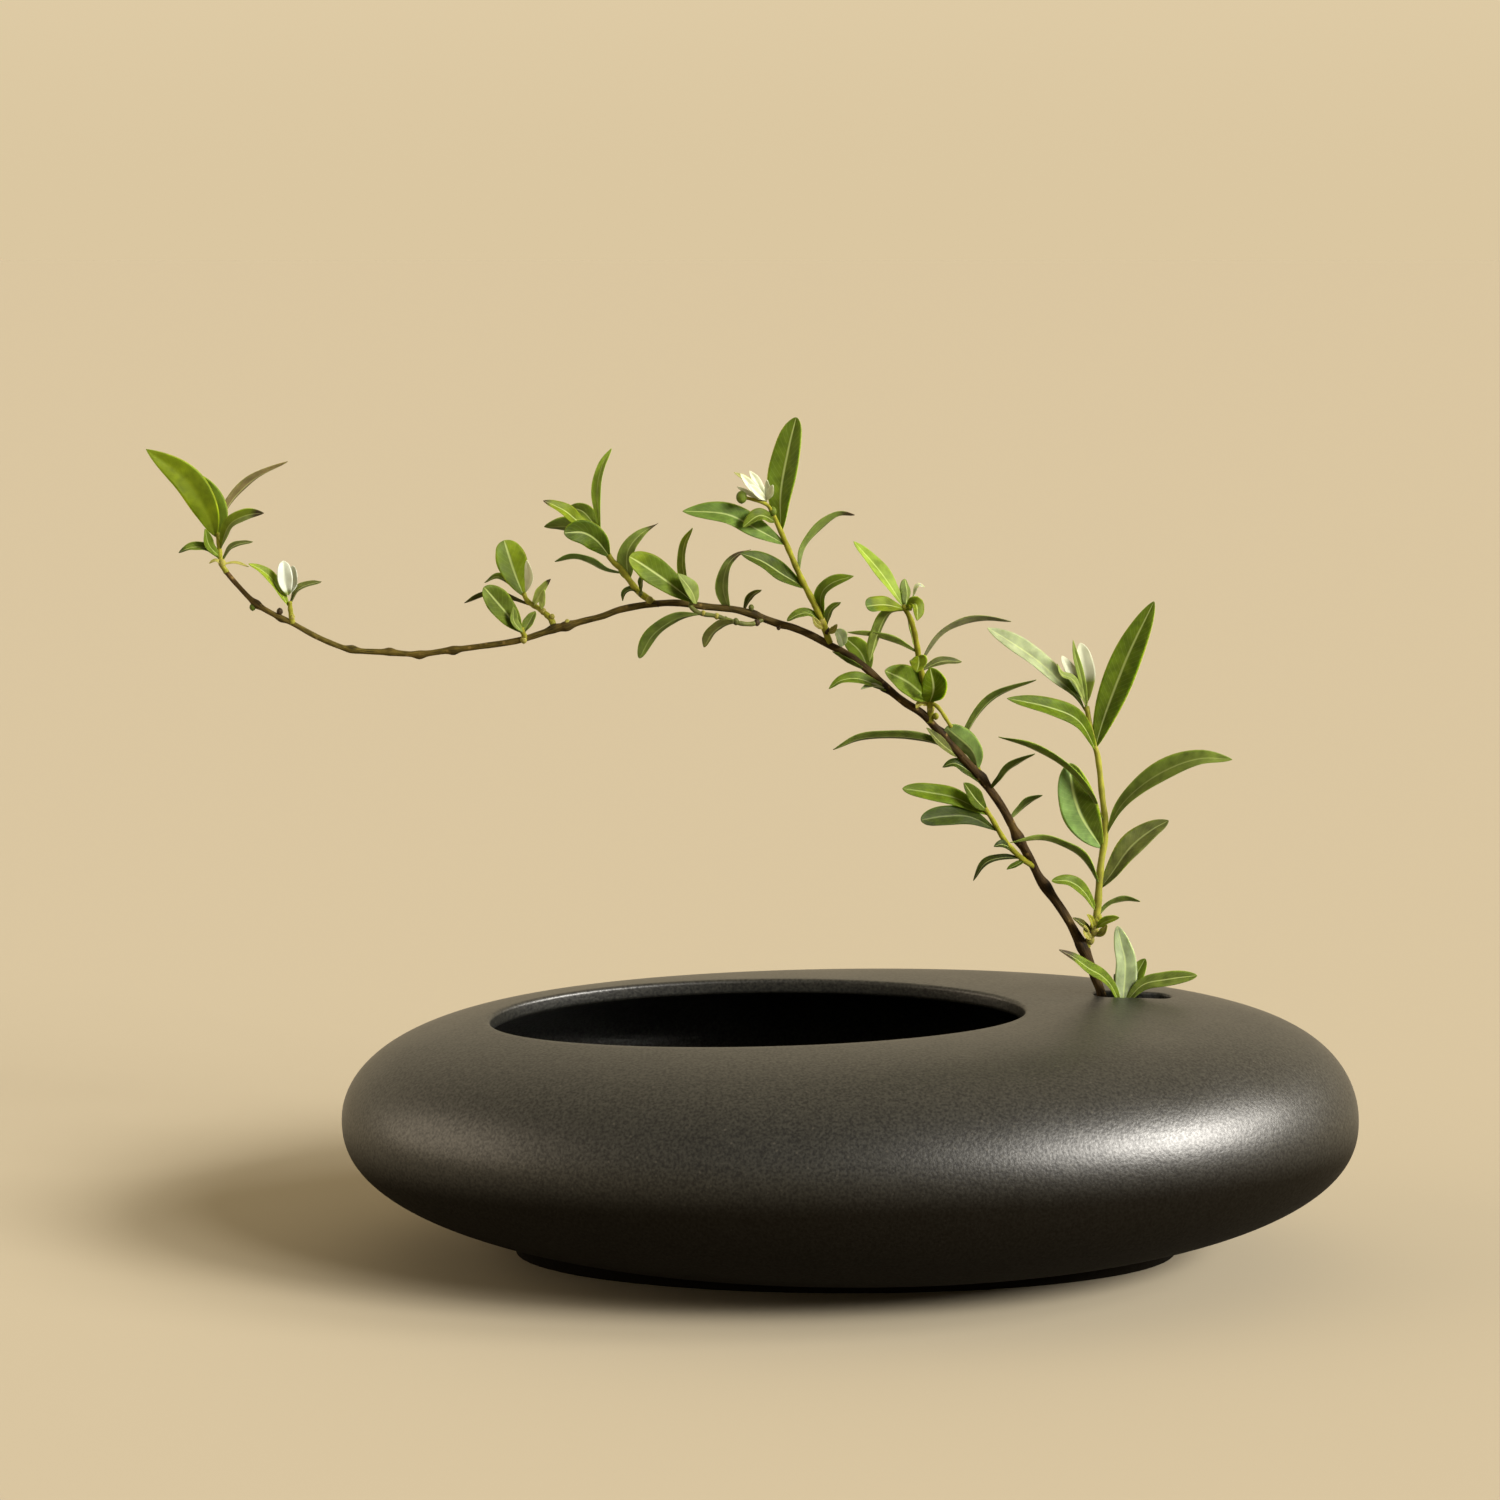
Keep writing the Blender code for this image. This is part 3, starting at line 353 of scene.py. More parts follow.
# The water: still and clear, its surface 30 mm above the table, a hair inside the wall and
# drawn up a little where it meets the glaze.
WATER_LEVEL, GAP, DRAWN_UP = 30.0, 0.1, 0.5
SKIN = WALL + GAP
wet_edge, wet_out = ellipse(0, 0, HALF_LENGTH - SKIN, HALF_DEPTH - SKIN, turns[::4])
wet_drop = EQUATOR - INNER_FLOOR - GAP
sink = EQUATOR - WATER_LEVEL + (wet_drop - (EQUATOR - WATER_LEVEL)) * np.linspace(0, 1, 14)[:-1]
wet_reach = (1 - (sink / wet_drop) ** BELLY_DOWN) ** (1 / BELLY_OUT)
bowl = belly(wet_edge * wet_reach[:, None, None] + (STEP_RIGHT, 0), SKIN)
surface = []
for inward in (0.4, 1.2, 2.5, 5.0):
    plan_point = wet_edge * wet_reach[0] - wet_out * inward + (STEP_RIGHT, 0)
    rise = np.full(len(wet_edge), WATER_LEVEL - DRAWN_UP + DRAWN_UP * math.exp(-inward))
    surface.append(np.column_stack([plan_point, rise]))
for part in (0.8, 0.5, 0.2):
    surface.append(surface[3] * (part, part, 1))
water_rows = np.concatenate([bowl[::-1], np.array(surface)])
wet_number = np.arange(water_rows.size // 3).reshape(-1, len(wet_edge))
middles = [(0, 0, INNER_FLOOR + GAP), (0, 0, WATER_LEVEL - DRAWN_UP)]
water = closed_mesh("still_water", np.concatenate([water_rows.reshape(-1, 3), middles]),
                    [bands(wet_number), fan(wet_number[0], wet_number.size),
                     fan(wet_number[-1], wet_number.size + 1)])
clear, tree, shader = empty_material("still water")
place = add(tree, "TexCoord").outputs["Object"]
ripples = add(tree, "TexNoise", {"Scale": 30.0, "Detail": 1.0, "Vector": place})
swell = add(tree, "Bump", {"Strength": 0.05, "Distance": 0.0004, "Height": ripples})
add(tree, shader, {"Base Color": linear("dfe8e2"), "Roughness": 0.02, "IOR": 1.333,
                   "Transmission Weight": 1.0, "Normal": swell})
water.data.materials.append(clear)
stands_for(water, "water")

# The branch: a woody shoot cut off at the foot, thinner and greener towards its tip.
# Its bark is thin and brown, ridged lengthwise, with knobs and dark scars where leaves stood.
BRANCH_PATH = [
    (105.8, 10, 15.2), (102, 11.3, 28), (98, 12.8, 42), (93, 14.6, 56), (88, 16.6, 70),
    (84.4, 18, 79), (83.2, 18.4, 82.8), (81.2, 19, 87.6), (79.2, 19, 92.8), (76, 19, 99.2),
    (72.2, 19, 106.2), (68.4, 18.6, 112), (63.8, 18, 118.4), (59.8, 17, 126.2), (55, 15.6, 135),
    (50, 13.6, 144.2), (43.2, 11, 153.6), (37, 9, 160.8), (30.6, 7, 167.8), (24.4, 5, 175),
    (18, 3, 179.4), (11.8, 1.6, 184.6), (5.8, 0, 190.4), (-0.4, -1.2, 195.2), (-5.8, -2.4, 198.2),
    (-11.8, -3.6, 201.6), (-17.8, -4.6, 204.2), (-23.8, -5.4, 206), (-29.8, -6, 208.2),
    (-35.8, -6.8, 210), (-44.8, -7.6, 211), (-53.8, -8, 212.2), (-62.4, -8.2, 211.8),
    (-71.4, -8, 210.2), (-77.4, -7.8, 208), (-83.4, -7.2, 206.4), (-89.6, -6.8, 204.6),
    (-95.8, -6, 202.6), (-104.8, -5, 199.8), (-117.2, -3.4, 197.8), (-126, -2.2, 196.6),
    (-136, -0.8, 195.2), (-147, 0.8, 195.6), (-156.6, 2, 196), (-161.8, 2.8, 197.4), (-169, 4, 200.4),
    (-177.2, 5.2, 204.8), (-183.8, 6.4, 207.8), (-189, 7.8, 211), (-194.2, 9, 216.2), (-197.6, 10, 220),
]
KNOBS = [  # place and radius
    (-188, 8, 210, 1.5), (-180.5, 6, 204.5, 1.5), (-157, 2.5, 197.5, 1.7), (-145, 1.5, 196.5, 1.6),
    (-135.5, -0.5, 194, 1.7), (-124.5, -2, 196, 1.6), (-93, -6, 205, 1.9), (-88.5, -7, 204.5, 1.9),
    (-29, -7, 210, 1.7), (-22, -4.5, 202.5, 1.7), (10.8, 1.3, 183.8, 1.8), (31, 7.5, 169.5, 2.0),
    (44, 11.5, 154.5, 2.1), (55.5, 16, 133, 2.3), (66, 18.5, 117.5, 2.4), (77.5, 19.5, 97, 2.7),
]


def course(points, shares):
    """Smooth (Catmull-Rom) curve through the points, read at shares of its length, and that length."""
    given = np.array(points, float)
    ends = np.vstack([2 * given[0] - given[1], given, 2 * given[-1] - given[-2]])
    a, b, c, d = (ends[k:len(ends) - 3 + k, None] for k in range(4))
    t = np.linspace(0, 1, 16, endpoint=False)[:, None]
    fine = 0.5 * (2 * b + (c - a) * t + (2 * a - 5 * b + 4 * c - d) * t ** 2
                  + (3 * b - a - 3 * c + d) * t ** 3)
    fine = np.vstack([fine.reshape(-1, 3), given[-1:]])
    run = np.append(0, np.linalg.norm(np.diff(fine, axis=0), axis=1).cumsum())
    read = [np.interp(np.asarray(shares) * run[-1], run, fine[:, k]) for k in range(3)]
    return np.column_stack(read), run[-1]


def unit(vectors):
    """Vectors at length one."""
    return vectors / np.linalg.norm(vectors, axis=-1, keepdims=True)


def round_stem(path, radii):
    """Surface around a path: circles in the plane across it, turned to one fixed direction.

    A point is the path's point plus radius times (side cos a + other side sin a), where the
    first side is across both the path and the line to the front.
    """
    along = unit(np.gradient(path, axis=0))
    side = unit(np.cross(along, (0.25, 1.0, 0.15)))
    other = np.cross(along, side)
    a = np.linspace(0, 2 * math.pi, radii.shape[1], endpoint=False)[None, :, None]
    return path[:, None] + radii[..., None] * (side[:, None] * np.cos(a) + other[:, None] * np.sin(a))


def tube_faces(rings, around, start=0):
    """Quads between the rings of a tube, and the fans that close it on its last two points."""
    grid = start + np.arange(rings * around).reshape(rings, around)
    end = start + rings * around
    fans = [fan(grid[0], end), fan(grid[-1], end + 1)[:, [1, 0, 2]]]
    return bands(grid).reshape(-1, 4), np.concatenate(fans)


def grown_mesh(name, points, quads, triangles, paint, flat, skin):
    """Smooth object from arrays: millimetre points, faces, colour per point, and UV per point."""
    corners = np.concatenate([quads.ravel(), triangles.ravel()]).astype(np.int32)
    mesh = bpy.data.meshes.new(name)
    mesh.vertices.add(len(points))
    mesh.vertices.foreach_set("co", (points * MM).astype(np.float32).ravel())
    mesh.loops.add(len(corners))
    mesh.loops.foreach_set("vertex_index", corners)
    mesh.polygons.add(len(quads) + len(triangles))
    starts = np.append(np.arange(len(quads)) * 4, len(quads) * 4 + np.arange(len(triangles)) * 3)
    mesh.polygons.foreach_set("loop_start", starts.astype(np.int32))
    mesh.update(calc_edges=True)
    mesh.validate()
    mesh.shade_smooth()
    tint = mesh.attributes.new("tint", "FLOAT_COLOR", "POINT")
    tint.data.foreach_set("color", paint.astype(np.float32).ravel())
    layer = mesh.uv_layers.new(name="blade")
    layer.data.foreach_set("uv", flat[corners].astype(np.float32).ravel())
    mesh.materials.append(skin)
    return shown(name, mesh)


STATIONS, SIDES = 520, 26
THICK, THINNING = 1.82, 1.02
shares = np.linspace(0, 1, STATIONS)
path, branch_length = course(BRANCH_PATH, shares)
angles = np.arange(SIDES) * 2 * math.pi / SIDES
mm_along = shares[:, None] * branch_length
# The radius falls from 1.82 mm at the foot to 0.8 mm at the tip. Three and seven low ridges
# wind along it and fade towards the tip, and slow waves thicken and thin the whole shoot.
ridges = (0.05 * np.sin(3 * angles + 0.11 * mm_along) + 0.04 * np.sin(7 * angles - 0.05 * mm_along)
          + 0.03 * np.sin(0.9 * mm_along + 2 * angles) * np.sin(0.23 * mm_along))
waves = 0.03 * np.sin(0.31 * mm_along) + 0.025 * np.sin(0.83 * mm_along + 1.0)
radii = (THICK - THINNING * shares[:, None] ** 0.7) * (1 + ridges * (1 - 0.6 * shares[:, None]) + waves)
bark_points = round_stem(path, radii)
knobs = np.array(KNOBS)
away = ((bark_points[None] - knobs[:, None, None, :3]) ** 2).sum(-1)
swell = np.exp(-away / (1.1 * knobs[:, None, None, 3]) ** 2).max(0)
bark_points = bark_points + unit(bark_points - path[:, None]) * (0.85 * swell)[..., None]
scar = np.exp(-(away.min(0) - 2.2) ** 2 / 1.6)
wood, young, shoot = (np.array(linear(c)) for c in ("2a1e09", "463d15", "3c2c12"))
grown = np.clip((shares[:, None, None] - 0.45) / 0.4, 0, 1)
ripe = np.clip((shares[:, None, None] - 0.93) / 0.07, 0, 1)
bark_paint = (wood * (1 - grown) + young * grown) * (1 - ripe) + shoot * ripe
bark_paint = bark_paint * (1 - 0.55 * np.clip(scar + 0.5 * swell, 0, 1)[..., None])
bark_paint[..., 3] = 1
bark_flat = np.stack(np.broadcast_arrays(angles[None] / (2 * math.pi), mm_along / 10), -1)
bark_points = np.vstack([bark_points.reshape(-1, 3), path[0] - 0.4 * (path[1] - path[0]), path[-1]])
bark_paint = np.vstack([bark_paint.reshape(-1, 4), wood, shoot])
bark_flat = np.vstack([bark_flat.reshape(-1, 2), (0, 0), (0, 1)])

# Thin brown bark, dull, with lengthwise streaks about 0.5 mm wide, small pale pores and
# pale patches laid at random by a noise, so that parts of it look dusty and the rest dark.
bark, tree, shader = empty_material("thin brown bark")
tint = add(tree, "Attribute", attribute_name="tint").outputs["Color"]
coordinates = add(tree, "TexCoord").outputs
drawn = add(tree, "Mapping", {"Scale": (9.0, 1.4, 1.0), "Vector": coordinates["UV"]})
streaks = add(tree, "TexNoise", {"Scale": 2.0, "Detail": 4.0, "Roughness": 0.65, "Vector": drawn})
pores = add(tree, "TexVoronoi", {"Scale": 330.0, "Vector": coordinates["Object"]})
patchy = add(tree, "TexNoise", {"Scale": 120.0, "Detail": 3.0, "Vector": coordinates["Object"]})
shade = add(tree, "MapRange", {**NOISE, "To Min": 0.15, "To Max": 2.0, "Value": streaks})
toned = add(tree, "VectorMath", {"Vector": tint, "Scale": shade}, operation="SCALE")
# Pale patches laid at random over the bark.
pale_patches = add(tree, "MapRange", {"From Min": 0.52, "From Max": 0.75, "To Max": 0.3, "Value": patchy})
with_pale_patches = add(tree, "Mix", {"Factor": pale_patches, "A": toned, "B": linear("6f5926")}, data_type="RGBA")
pore_mask = add(tree, "MapRange", {"From Min": 0.1, "From Max": 0.22, "To Min": 0.5, "To Max": 0.0,
                                   "Value": pores})
skin = add(tree, "Mix", {"Factor": pore_mask, "A": with_pale_patches, "B": linear("806a3a")}, data_type="RGBA")
rough = add(tree, "Bump", {"Strength": 0.7, "Distance": 0.0003, "Height": streaks})
add(tree, shader, {"Roughness": 0.75, "Specular IOR Level": 0.12, "Base Color": skin, "Normal": rough})
stands_for(grown_mesh("woody_branch", bark_points, *tube_faces(STATIONS, SIDES), bark_paint, bark_flat, bark),
           "main_branch")

# The foliage: narrow thin leaves on green side shoots, darker and glossier above than below,
# each folded a little along its midrib. All leaves and shoots of a spray are one piece.
# Colours are given as upper side and underside.
# Painted light: 'bright2', 'blue2' and 'streak' are lighter greens that are also given to leaves lying in
# shade, to make up for the light they lack.
COLOURS = {
    "lime": ("535f0c", "5c6518"), "lime2": ("435306", "4e5b10"), "bright": ("495813", "556027"),
    "bright2": ("667826", "647231"), "deep": ("434f13", "4e5a26"), "mid": ("637218", "697a2c"),
    "pale": ("677339", "6c7847"), "olive": ("36360d", "333311"), "olive2": ("394311", "3b4416"),
    "dusk": ("273109", "2d370f"), "grey": ("495c22", "516331"), "grey2": ("43471f", "4e4f33"),
    "blue": ("5a672a", "637146"), "blue2": ("5c733f", "62734b"), "mint": ("8e9b53", "8e9b53"),
    "streak": ("838c6a", "868e6c"), "streak2": ("737e5c", "737e5c"), "dark": ("232909", "2e3311"),
    "white": ("b4b99c", "b0b496"), "yellow": ("8b8d50", "8b8d50"), "stem": ("706f20", "706f20"),
    "twig": ("4c5026", "4c5026"), "bud_green": ("49561c", "49561c"), "bract": ("767134", "767134"),
    "tan": ("594f31", "594f31"), "shady": ("323e08", "3a4413"), "furled": ("b2b69c", "b2b69c"),
    "brown": ("33281a", "33281a"), "pearl": ("a8ae9e", "a3a995"), "stem_light": ("77762a", "77762a"),
}


def tinted(word, side=0):
    """Linear colour of a word, of the upper side or the underside."""
    return np.array(linear(COLOURS[word][side]))


LENGTHWISE, CROSSWISE = 34, 13
BLADE, BLADE_EDGE, LEAST_HALF = 0.10, 0.035, 0.38
RIB_REACH, RIB_SUNK, RIB_RAISED = 0.35, 0.10, 0.28


def leaf(width, turn, word, *points, root=0.9, end=0.8, fold=0.32, rib=0.28, other=None,
         foot=None, foot_until=0.35, tip=None, tip_from=0.78):
    """Leaf or petal: a closed thin blade on a grid of share along (f) and place across (u, -1 to 1).

    Half width is f^root (1-f)^end, scaled to its largest, times half the given width. A point
    is the midrib's point plus u times the half width along the side direction, raised by the
    fold, which is the half width times |u| sin(fold), rounded at the midrib, by a wave that
    grows to the margin, and by half the thickness on the upper face, lowered by it below.
    Its halves, its foot and its tip may each have a colour of their own.
    """
    middle = CROSSWISE // 2
    f = (1 - np.cos(np.linspace(0, math.pi, LENGTHWISE))) / 2 * 0.992 + 0.004
    spine, length = course(points, f)
    peak = root / (root + end)
    outline = f ** root * (1 - f) ** end / (peak ** root * (1 - peak) ** end)
    half = np.maximum(0.5 * width * outline, LEAST_HALF * (1 - 0.9 * f ** 0.5))[:, None]
    along = unit(np.gradient(spine, axis=0))
    back = unit(np.array([0, 1.0, 0]) - along * along[:, 1:2])
    rise = np.cross(along, back)
    if rise[:, 2].sum() < 0:
        rise = -rise
    upper = rise * math.sin(math.radians(turn)) - back * math.cos(math.radians(turn))
    across = np.cross(along, upper)
    sweep = np.linspace(-1, 1, CROSSWISE)
    u = np.concatenate([sweep, sweep[-2:0:-1]])[None]
    face = np.where(np.arange(u.size) < CROSSWISE, 1.0, -1.0)[None]
    bend = fold * np.minimum(1, 3 * (1 - f[:, None]) ** 0.6)
    ridge = np.sqrt(u ** 2 + 0.012) - 0.11
    wave = 0.07 * np.sin(f[:, None] * 13 + 1.7 * u + width)
    lift = half * (ridge * np.sin(bend) + wave * u ** 2)
    thick = BLADE * np.sqrt(np.clip(1 - u ** 2, 0, 1)) + BLADE_EDGE
    midrib = np.exp(-(u * half / RIB_REACH) ** 2) * (1 - f[:, None]) ** 0.5
    skin = np.where(face > 0, thick - RIB_SUNK * midrib, -thick - RIB_RAISED * midrib)
    grid = (spine[:, None] + across[:, None] * (u * half * np.cos(bend))[..., None]
            + upper[:, None] * (lift + skin)[..., None])
    sides = [np.where((u > 0)[..., None], tinted(other or word, k), tinted(word, k)) for k in (0, 1)]
    paint = np.broadcast_to(np.where(face[..., None] > 0, *sides), grid.shape[:2] + (4,))
    for own, reach in ((foot, foot_until - f), (tip, f - tip_from)):
        if own:
            part = np.clip(reach / 0.1, 0, 1)[:, None, None]
            paint = paint * (1 - part) + tinted(own) * part
    paint = np.concatenate([paint[..., :3], np.full(grid.shape[:2] + (1,), rib)], -1)
    flat = np.stack(np.broadcast_arrays(0.5 + 0.5 * u, 0.05 * f[:, None] * length + 0 * u), -1)
    ends = np.stack([spine[0] - 0.1 * along[0], spine[-1] + 0.15 * along[-1] + upper[-1] * lift[-1, middle]])
    points = np.concatenate([grid.reshape(-1, 3), ends])
    paint, flat = (np.concatenate([a.reshape(-1, a.shape[-1]), a[[0, -1], middle]]) for a in (paint, flat))
    return points, paint, flat, grid.shape[:2]


def solid_round(line, radii, ends, word):
    """Round body along a line, closed on two end points, in one colour without a midrib."""
    grid = np.concatenate([round_stem(line, radii).reshape(-1, 3), ends])
    paint = np.tile(tinted(word), (len(grid), 1))
    paint[:, 3] = 0
    return grid, paint, np.zeros((len(grid), 2)), radii.shape


def stem(first, last, *points, word="stem"):
    """Side shoot: a round stem that thins along its path and swells a little at each bend."""
    shares = np.linspace(0, 1, 10 + 6 * len(points))
    line, length = course(points, shares)
    beat = 1 + 0.07 * np.cos(shares * 2 * math.pi * len(points))
    radii = ((first + (last - first) * shares) * beat)[:, None] * np.ones((1, 14))
    ends = np.concatenate([line[:1], line[-1:] + 0.5 * last * unit(line[-1:] - line[-2:-1])])
    made = solid_round(line, radii, ends, word)
    made[2][:-2, 1] = np.repeat(shares * length * 0.05, 14)
    return made


def bud(radius, centre, word="bract"):
    """Closed bud: a ball drawn out a little upwards, of radius times sin along and around."""
    lift = np.linspace(0, math.pi, 16)[1:-1]
    line = np.array(centre, float) + np.outer(-np.cos(lift) * radius * 1.15, (0, 0.15, 1.0))
    radii = (radius * np.sin(lift))[:, None] * np.ones((1, 16))
    out = np.array([(0, 0, 0.1 * radius)])
    return solid_round(line, radii, np.concatenate([line[:1] - out, line[-1:] + out]), word)


# Living leaf, waxy on top: soft gloss, a paler midrib, side veins about 2 mm apart that
# slant to the tip, and a fine mottle. The underside is matte and paler, from its own colour.
leaf_skin, tree, shader = empty_material("living leaf")
tint = add(tree, "Attribute", attribute_name="tint").outputs
coordinates = add(tree, "TexCoord").outputs
uv = add(tree, "SeparateXYZ", {"Vector": coordinates["UV"]}).outputs
aside = add(tree, "Math", {0: uv["X"], 1: 0.5}, operation="SUBTRACT")
aside = add(tree, "Math", {0: aside}, operation="ABSOLUTE")
midrib = add(tree, "MapRange", {"From Min": 0.015, "From Max": 0.05, "To Min": 1.0, "To Max": 0.0,
                                "Value": aside})
slant = add(tree, "Math", {0: aside, 1: -0.55, 2: uv["Y"]}, operation="MULTIPLY_ADD")
beat = add(tree, "Math", {0: slant, 1: 62.0}, operation="MULTIPLY")
beat = add(tree, "Math", {0: beat}, operation="SINE")
veins = add(tree, "MapRange", {"From Min": 0.82, "Value": beat})
mottle = add(tree, "TexNoise", {"Scale": 260.0, "Detail": 3.0, "Vector": coordinates["Object"]})
clouds = add(tree, "TexNoise", {"Scale": 70.0, "Vector": coordinates["Object"]})
shade = add(tree, "MapRange", {**NOISE, "To Min": 0.72, "To Max": 1.3, "Value": mottle})
cloud = add(tree, "MapRange", {**NOISE, "To Min": 0.85, "To Max": 1.15, "Value": clouds})
shade = add(tree, "Math", {0: shade, 1: cloud}, operation="MULTIPLY")
toned = add(tree, "VectorMath", {"Vector": tint["Color"], "Scale": shade}, operation="SCALE")
rib_share = add(tree, "Math", {0: midrib, 1: tint["Alpha"]}, operation="MULTIPLY")
vein_share = add(tree, "Math", {0: veins, 1: 0.1}, operation="MULTIPLY")
vein_share = add(tree, "Math", {0: vein_share, 1: tint["Alpha"]}, operation="MULTIPLY")
pale = add(tree, "Math", {0: rib_share, 1: vein_share}, operation="MAXIMUM")
green = add(tree, "Mix", {"Factor": pale, "A": toned, "B": linear("c3cf86")}, data_type="RGBA")
relief = add(tree, "Math", {0: veins, 1: 0.2, 2: mottle}, operation="MULTIPLY_ADD")
raised = add(tree, "Bump", {"Strength": 0.35, "Distance": 0.00015, "Height": relief})
add(tree, shader, {"Roughness": 0.5, "Specular IOR Level": 0.07, "Subsurface Weight": 0.5,
                   "Subsurface Radius": (0.5, 0.7, 0.2), "Subsurface Scale": 0.001, "Base Color": green,
                   "Normal": raised})

# White petal: thin, matte and a little see-through, with a faint mottle, so that it is the
# palest thing on the branch without any gloss.
petal_skin, tree, shader = empty_material("white petal")
tint = add(tree, "Attribute", attribute_name="tint").outputs["Color"]
solid = add(tree, "TexCoord").outputs["Object"]
mottle = add(tree, "TexNoise", {"Scale": 300.0, "Vector": solid})
shade = add(tree, "MapRange", {**NOISE, "To Min": 0.88, "To Max": 1.06, "Value": mottle})
toned = add(tree, "VectorMath", {"Vector": tint, "Scale": shade}, operation="SCALE")
raised = add(tree, "Bump", {"Strength": 0.2, "Distance": 0.0001, "Height": mottle})
add(tree, shader, {"Roughness": 0.6, "Specular IOR Level": 0.3, "Subsurface Weight": 0.2,
                   "Subsurface Radius": (0.6, 0.6, 0.5), "Subsurface Scale": 0.001, "Base Color": toned,
                   "Normal": raised})


def grow(name, node, *parts, slot="leaves"):
    """One spray or bloom: its leaves, stems and buds gathered into one mesh that stands for its node."""
    starts = np.cumsum([0] + [len(part[0]) for part in parts])
    faces = [tube_faces(*part[3], start) for part, start in zip(parts, starts)]
    points, paint, flat = (np.concatenate([part[k] for part in parts]) for k in range(3))
    quads, fans = (np.concatenate([f[k] for f in faces]) for k in range(2))
    skin = petal_skin if slot == "petals" else leaf_skin
    stands_for(grown_mesh(name, points, quads, fans, paint, flat, skin), node)


# The far tip: one long pointed leaf, lime where the sun comes through, over a small
# rosette of narrow leaves on the end of the shoot.
grow("tip_spray", "spray_tip",
    leaf(9.5, 10, "lime", (-200.8, 10, 231.4), (-203.6, 7.6, 240.8), (-209.2, 5, 250.4), (-221, 2, 259.8),
        root=0.8, end=0.9, fold=0.2, rib=0),
    leaf(8.6, 10, "lime", (-199.8, 10.4, 230), (-201.4, 12, 240.4), (-208.8, 14, 251.8), fold=0.15, rib=0,
        other="bright"),
    leaf(5, 120, "tan", (-200, 11, 228.8), (-198.2, 14, 239.6), (-190.4, 18, 248.6), (-179, 22, 254.6)),
    leaf(5.5, 40, "mid", (-199.6, 10, 227.2), (-196, 6.4, 235.2), (-190.4, 3, 238.6), (-184, 0, 239.8),
        other="pale", tip="brown"),
    leaf(3.5, 60, "grey2", (-199, 10.4, 224), (-195.8, 13, 228), (-189.8, 15, 229.4)),
    leaf(4, 50, "deep", (-199.6, 9.8, 224.4), (-203, 8, 227.8), (-207.6, 6, 228.4), (-211.6, 3, 227),
        tip="dark"),
    leaf(4, 45, "bright", (-199.6, 9.6, 225), (-202.6, 7, 229), (-203.4, 5, 234.4)),
    leaf(1.5, 50, "bract", (-199.2, 10, 223), (-200.8, 8.4, 224), (-202.8, 8, 223.2)),
    leaf(1.2, 50, "bract", (-198.8, 10, 222.8), (-194.8, 11.6, 223), (-190.8, 12.4, 221.6)),
    stem(0.9, 0.75, (-197.6, 10, 220), (-199.4, 10, 223.4), (-199.8, 10, 228.8), (-200.2, 10, 232.6)),
    bud(1.2, (-199, 10, 223)))

# A short side sprig just behind the tip: a narrow bright leaf and a small dark one on a
# stubby green stem, and its opening bud, two white petals held together at the foot.
grow("short_sprig", "spray_two",
    leaf(4.5, 50, "mid", (-177.2, 4.8, 209.6), (-181.8, 3, 217.8), (-185.2, 1.6, 221.4), (-189.2, 0, 223.8)),
    leaf(4, 60, "grey2", (-177, 4.8, 210.6), (-174, 8, 215.2), (-167.6, 11, 217)),
    stem(0.9, 0.7, (-176.2, 5, 204.2), (-176.8, 4.8, 208), (-177, 4.6, 211.2)),
    bud(1, (-189.2, 7.4, 209.2), "bud_green"), bud(1, (-180.4, 5.8, 208), "brown"),
    bud(0.9, (-176.4, 4.8, 206.4)))
grow("opening_bud", "bud_two",
    leaf(5.6, 15, "pearl", (-177.2, 4, 213.4), (-178.2, 2.6, 218.4), (-178.6, 3.2, 224.4), root=0.8, end=0.6,
        fold=0.5, foot="pale", foot_until=0.2),
    leaf(4.8, 30, "pearl", (-177.2, 4, 213.4), (-176, 5.6, 216.8), (-175.8, 5.2, 222.6), root=0.8, end=0.6),
    slot="petals")

# A low sprig close on the branch: one broad glossy leaf and two small ones on a very
# short stem.
grow("low_sprig", "spray_three",
    leaf(9, 30, "deep", (-102.4, -7.6, 202.6), (-107.2, -10, 209), (-111, -12.4, 214), (-114, -14, 217.8),
        end=0.55),
    leaf(3.5, 45, "blue", (-102.4, -9, 203.2), (-105, -10.4, 206.8), (-105, -11.6, 211.4)),
    leaf(4.2, 35, "blue", (-102.4, -7.6, 202.4), (-100.6, -6, 205.6), (-98.6, -4, 209.2)),
    stem(0.9, 0.8, (-101.8, -5.6, 200.8), (-102.2, -7, 202.4), (-102.8, -8, 204)),
    bud(1.1, (-102.2, -6.2, 200.4)))

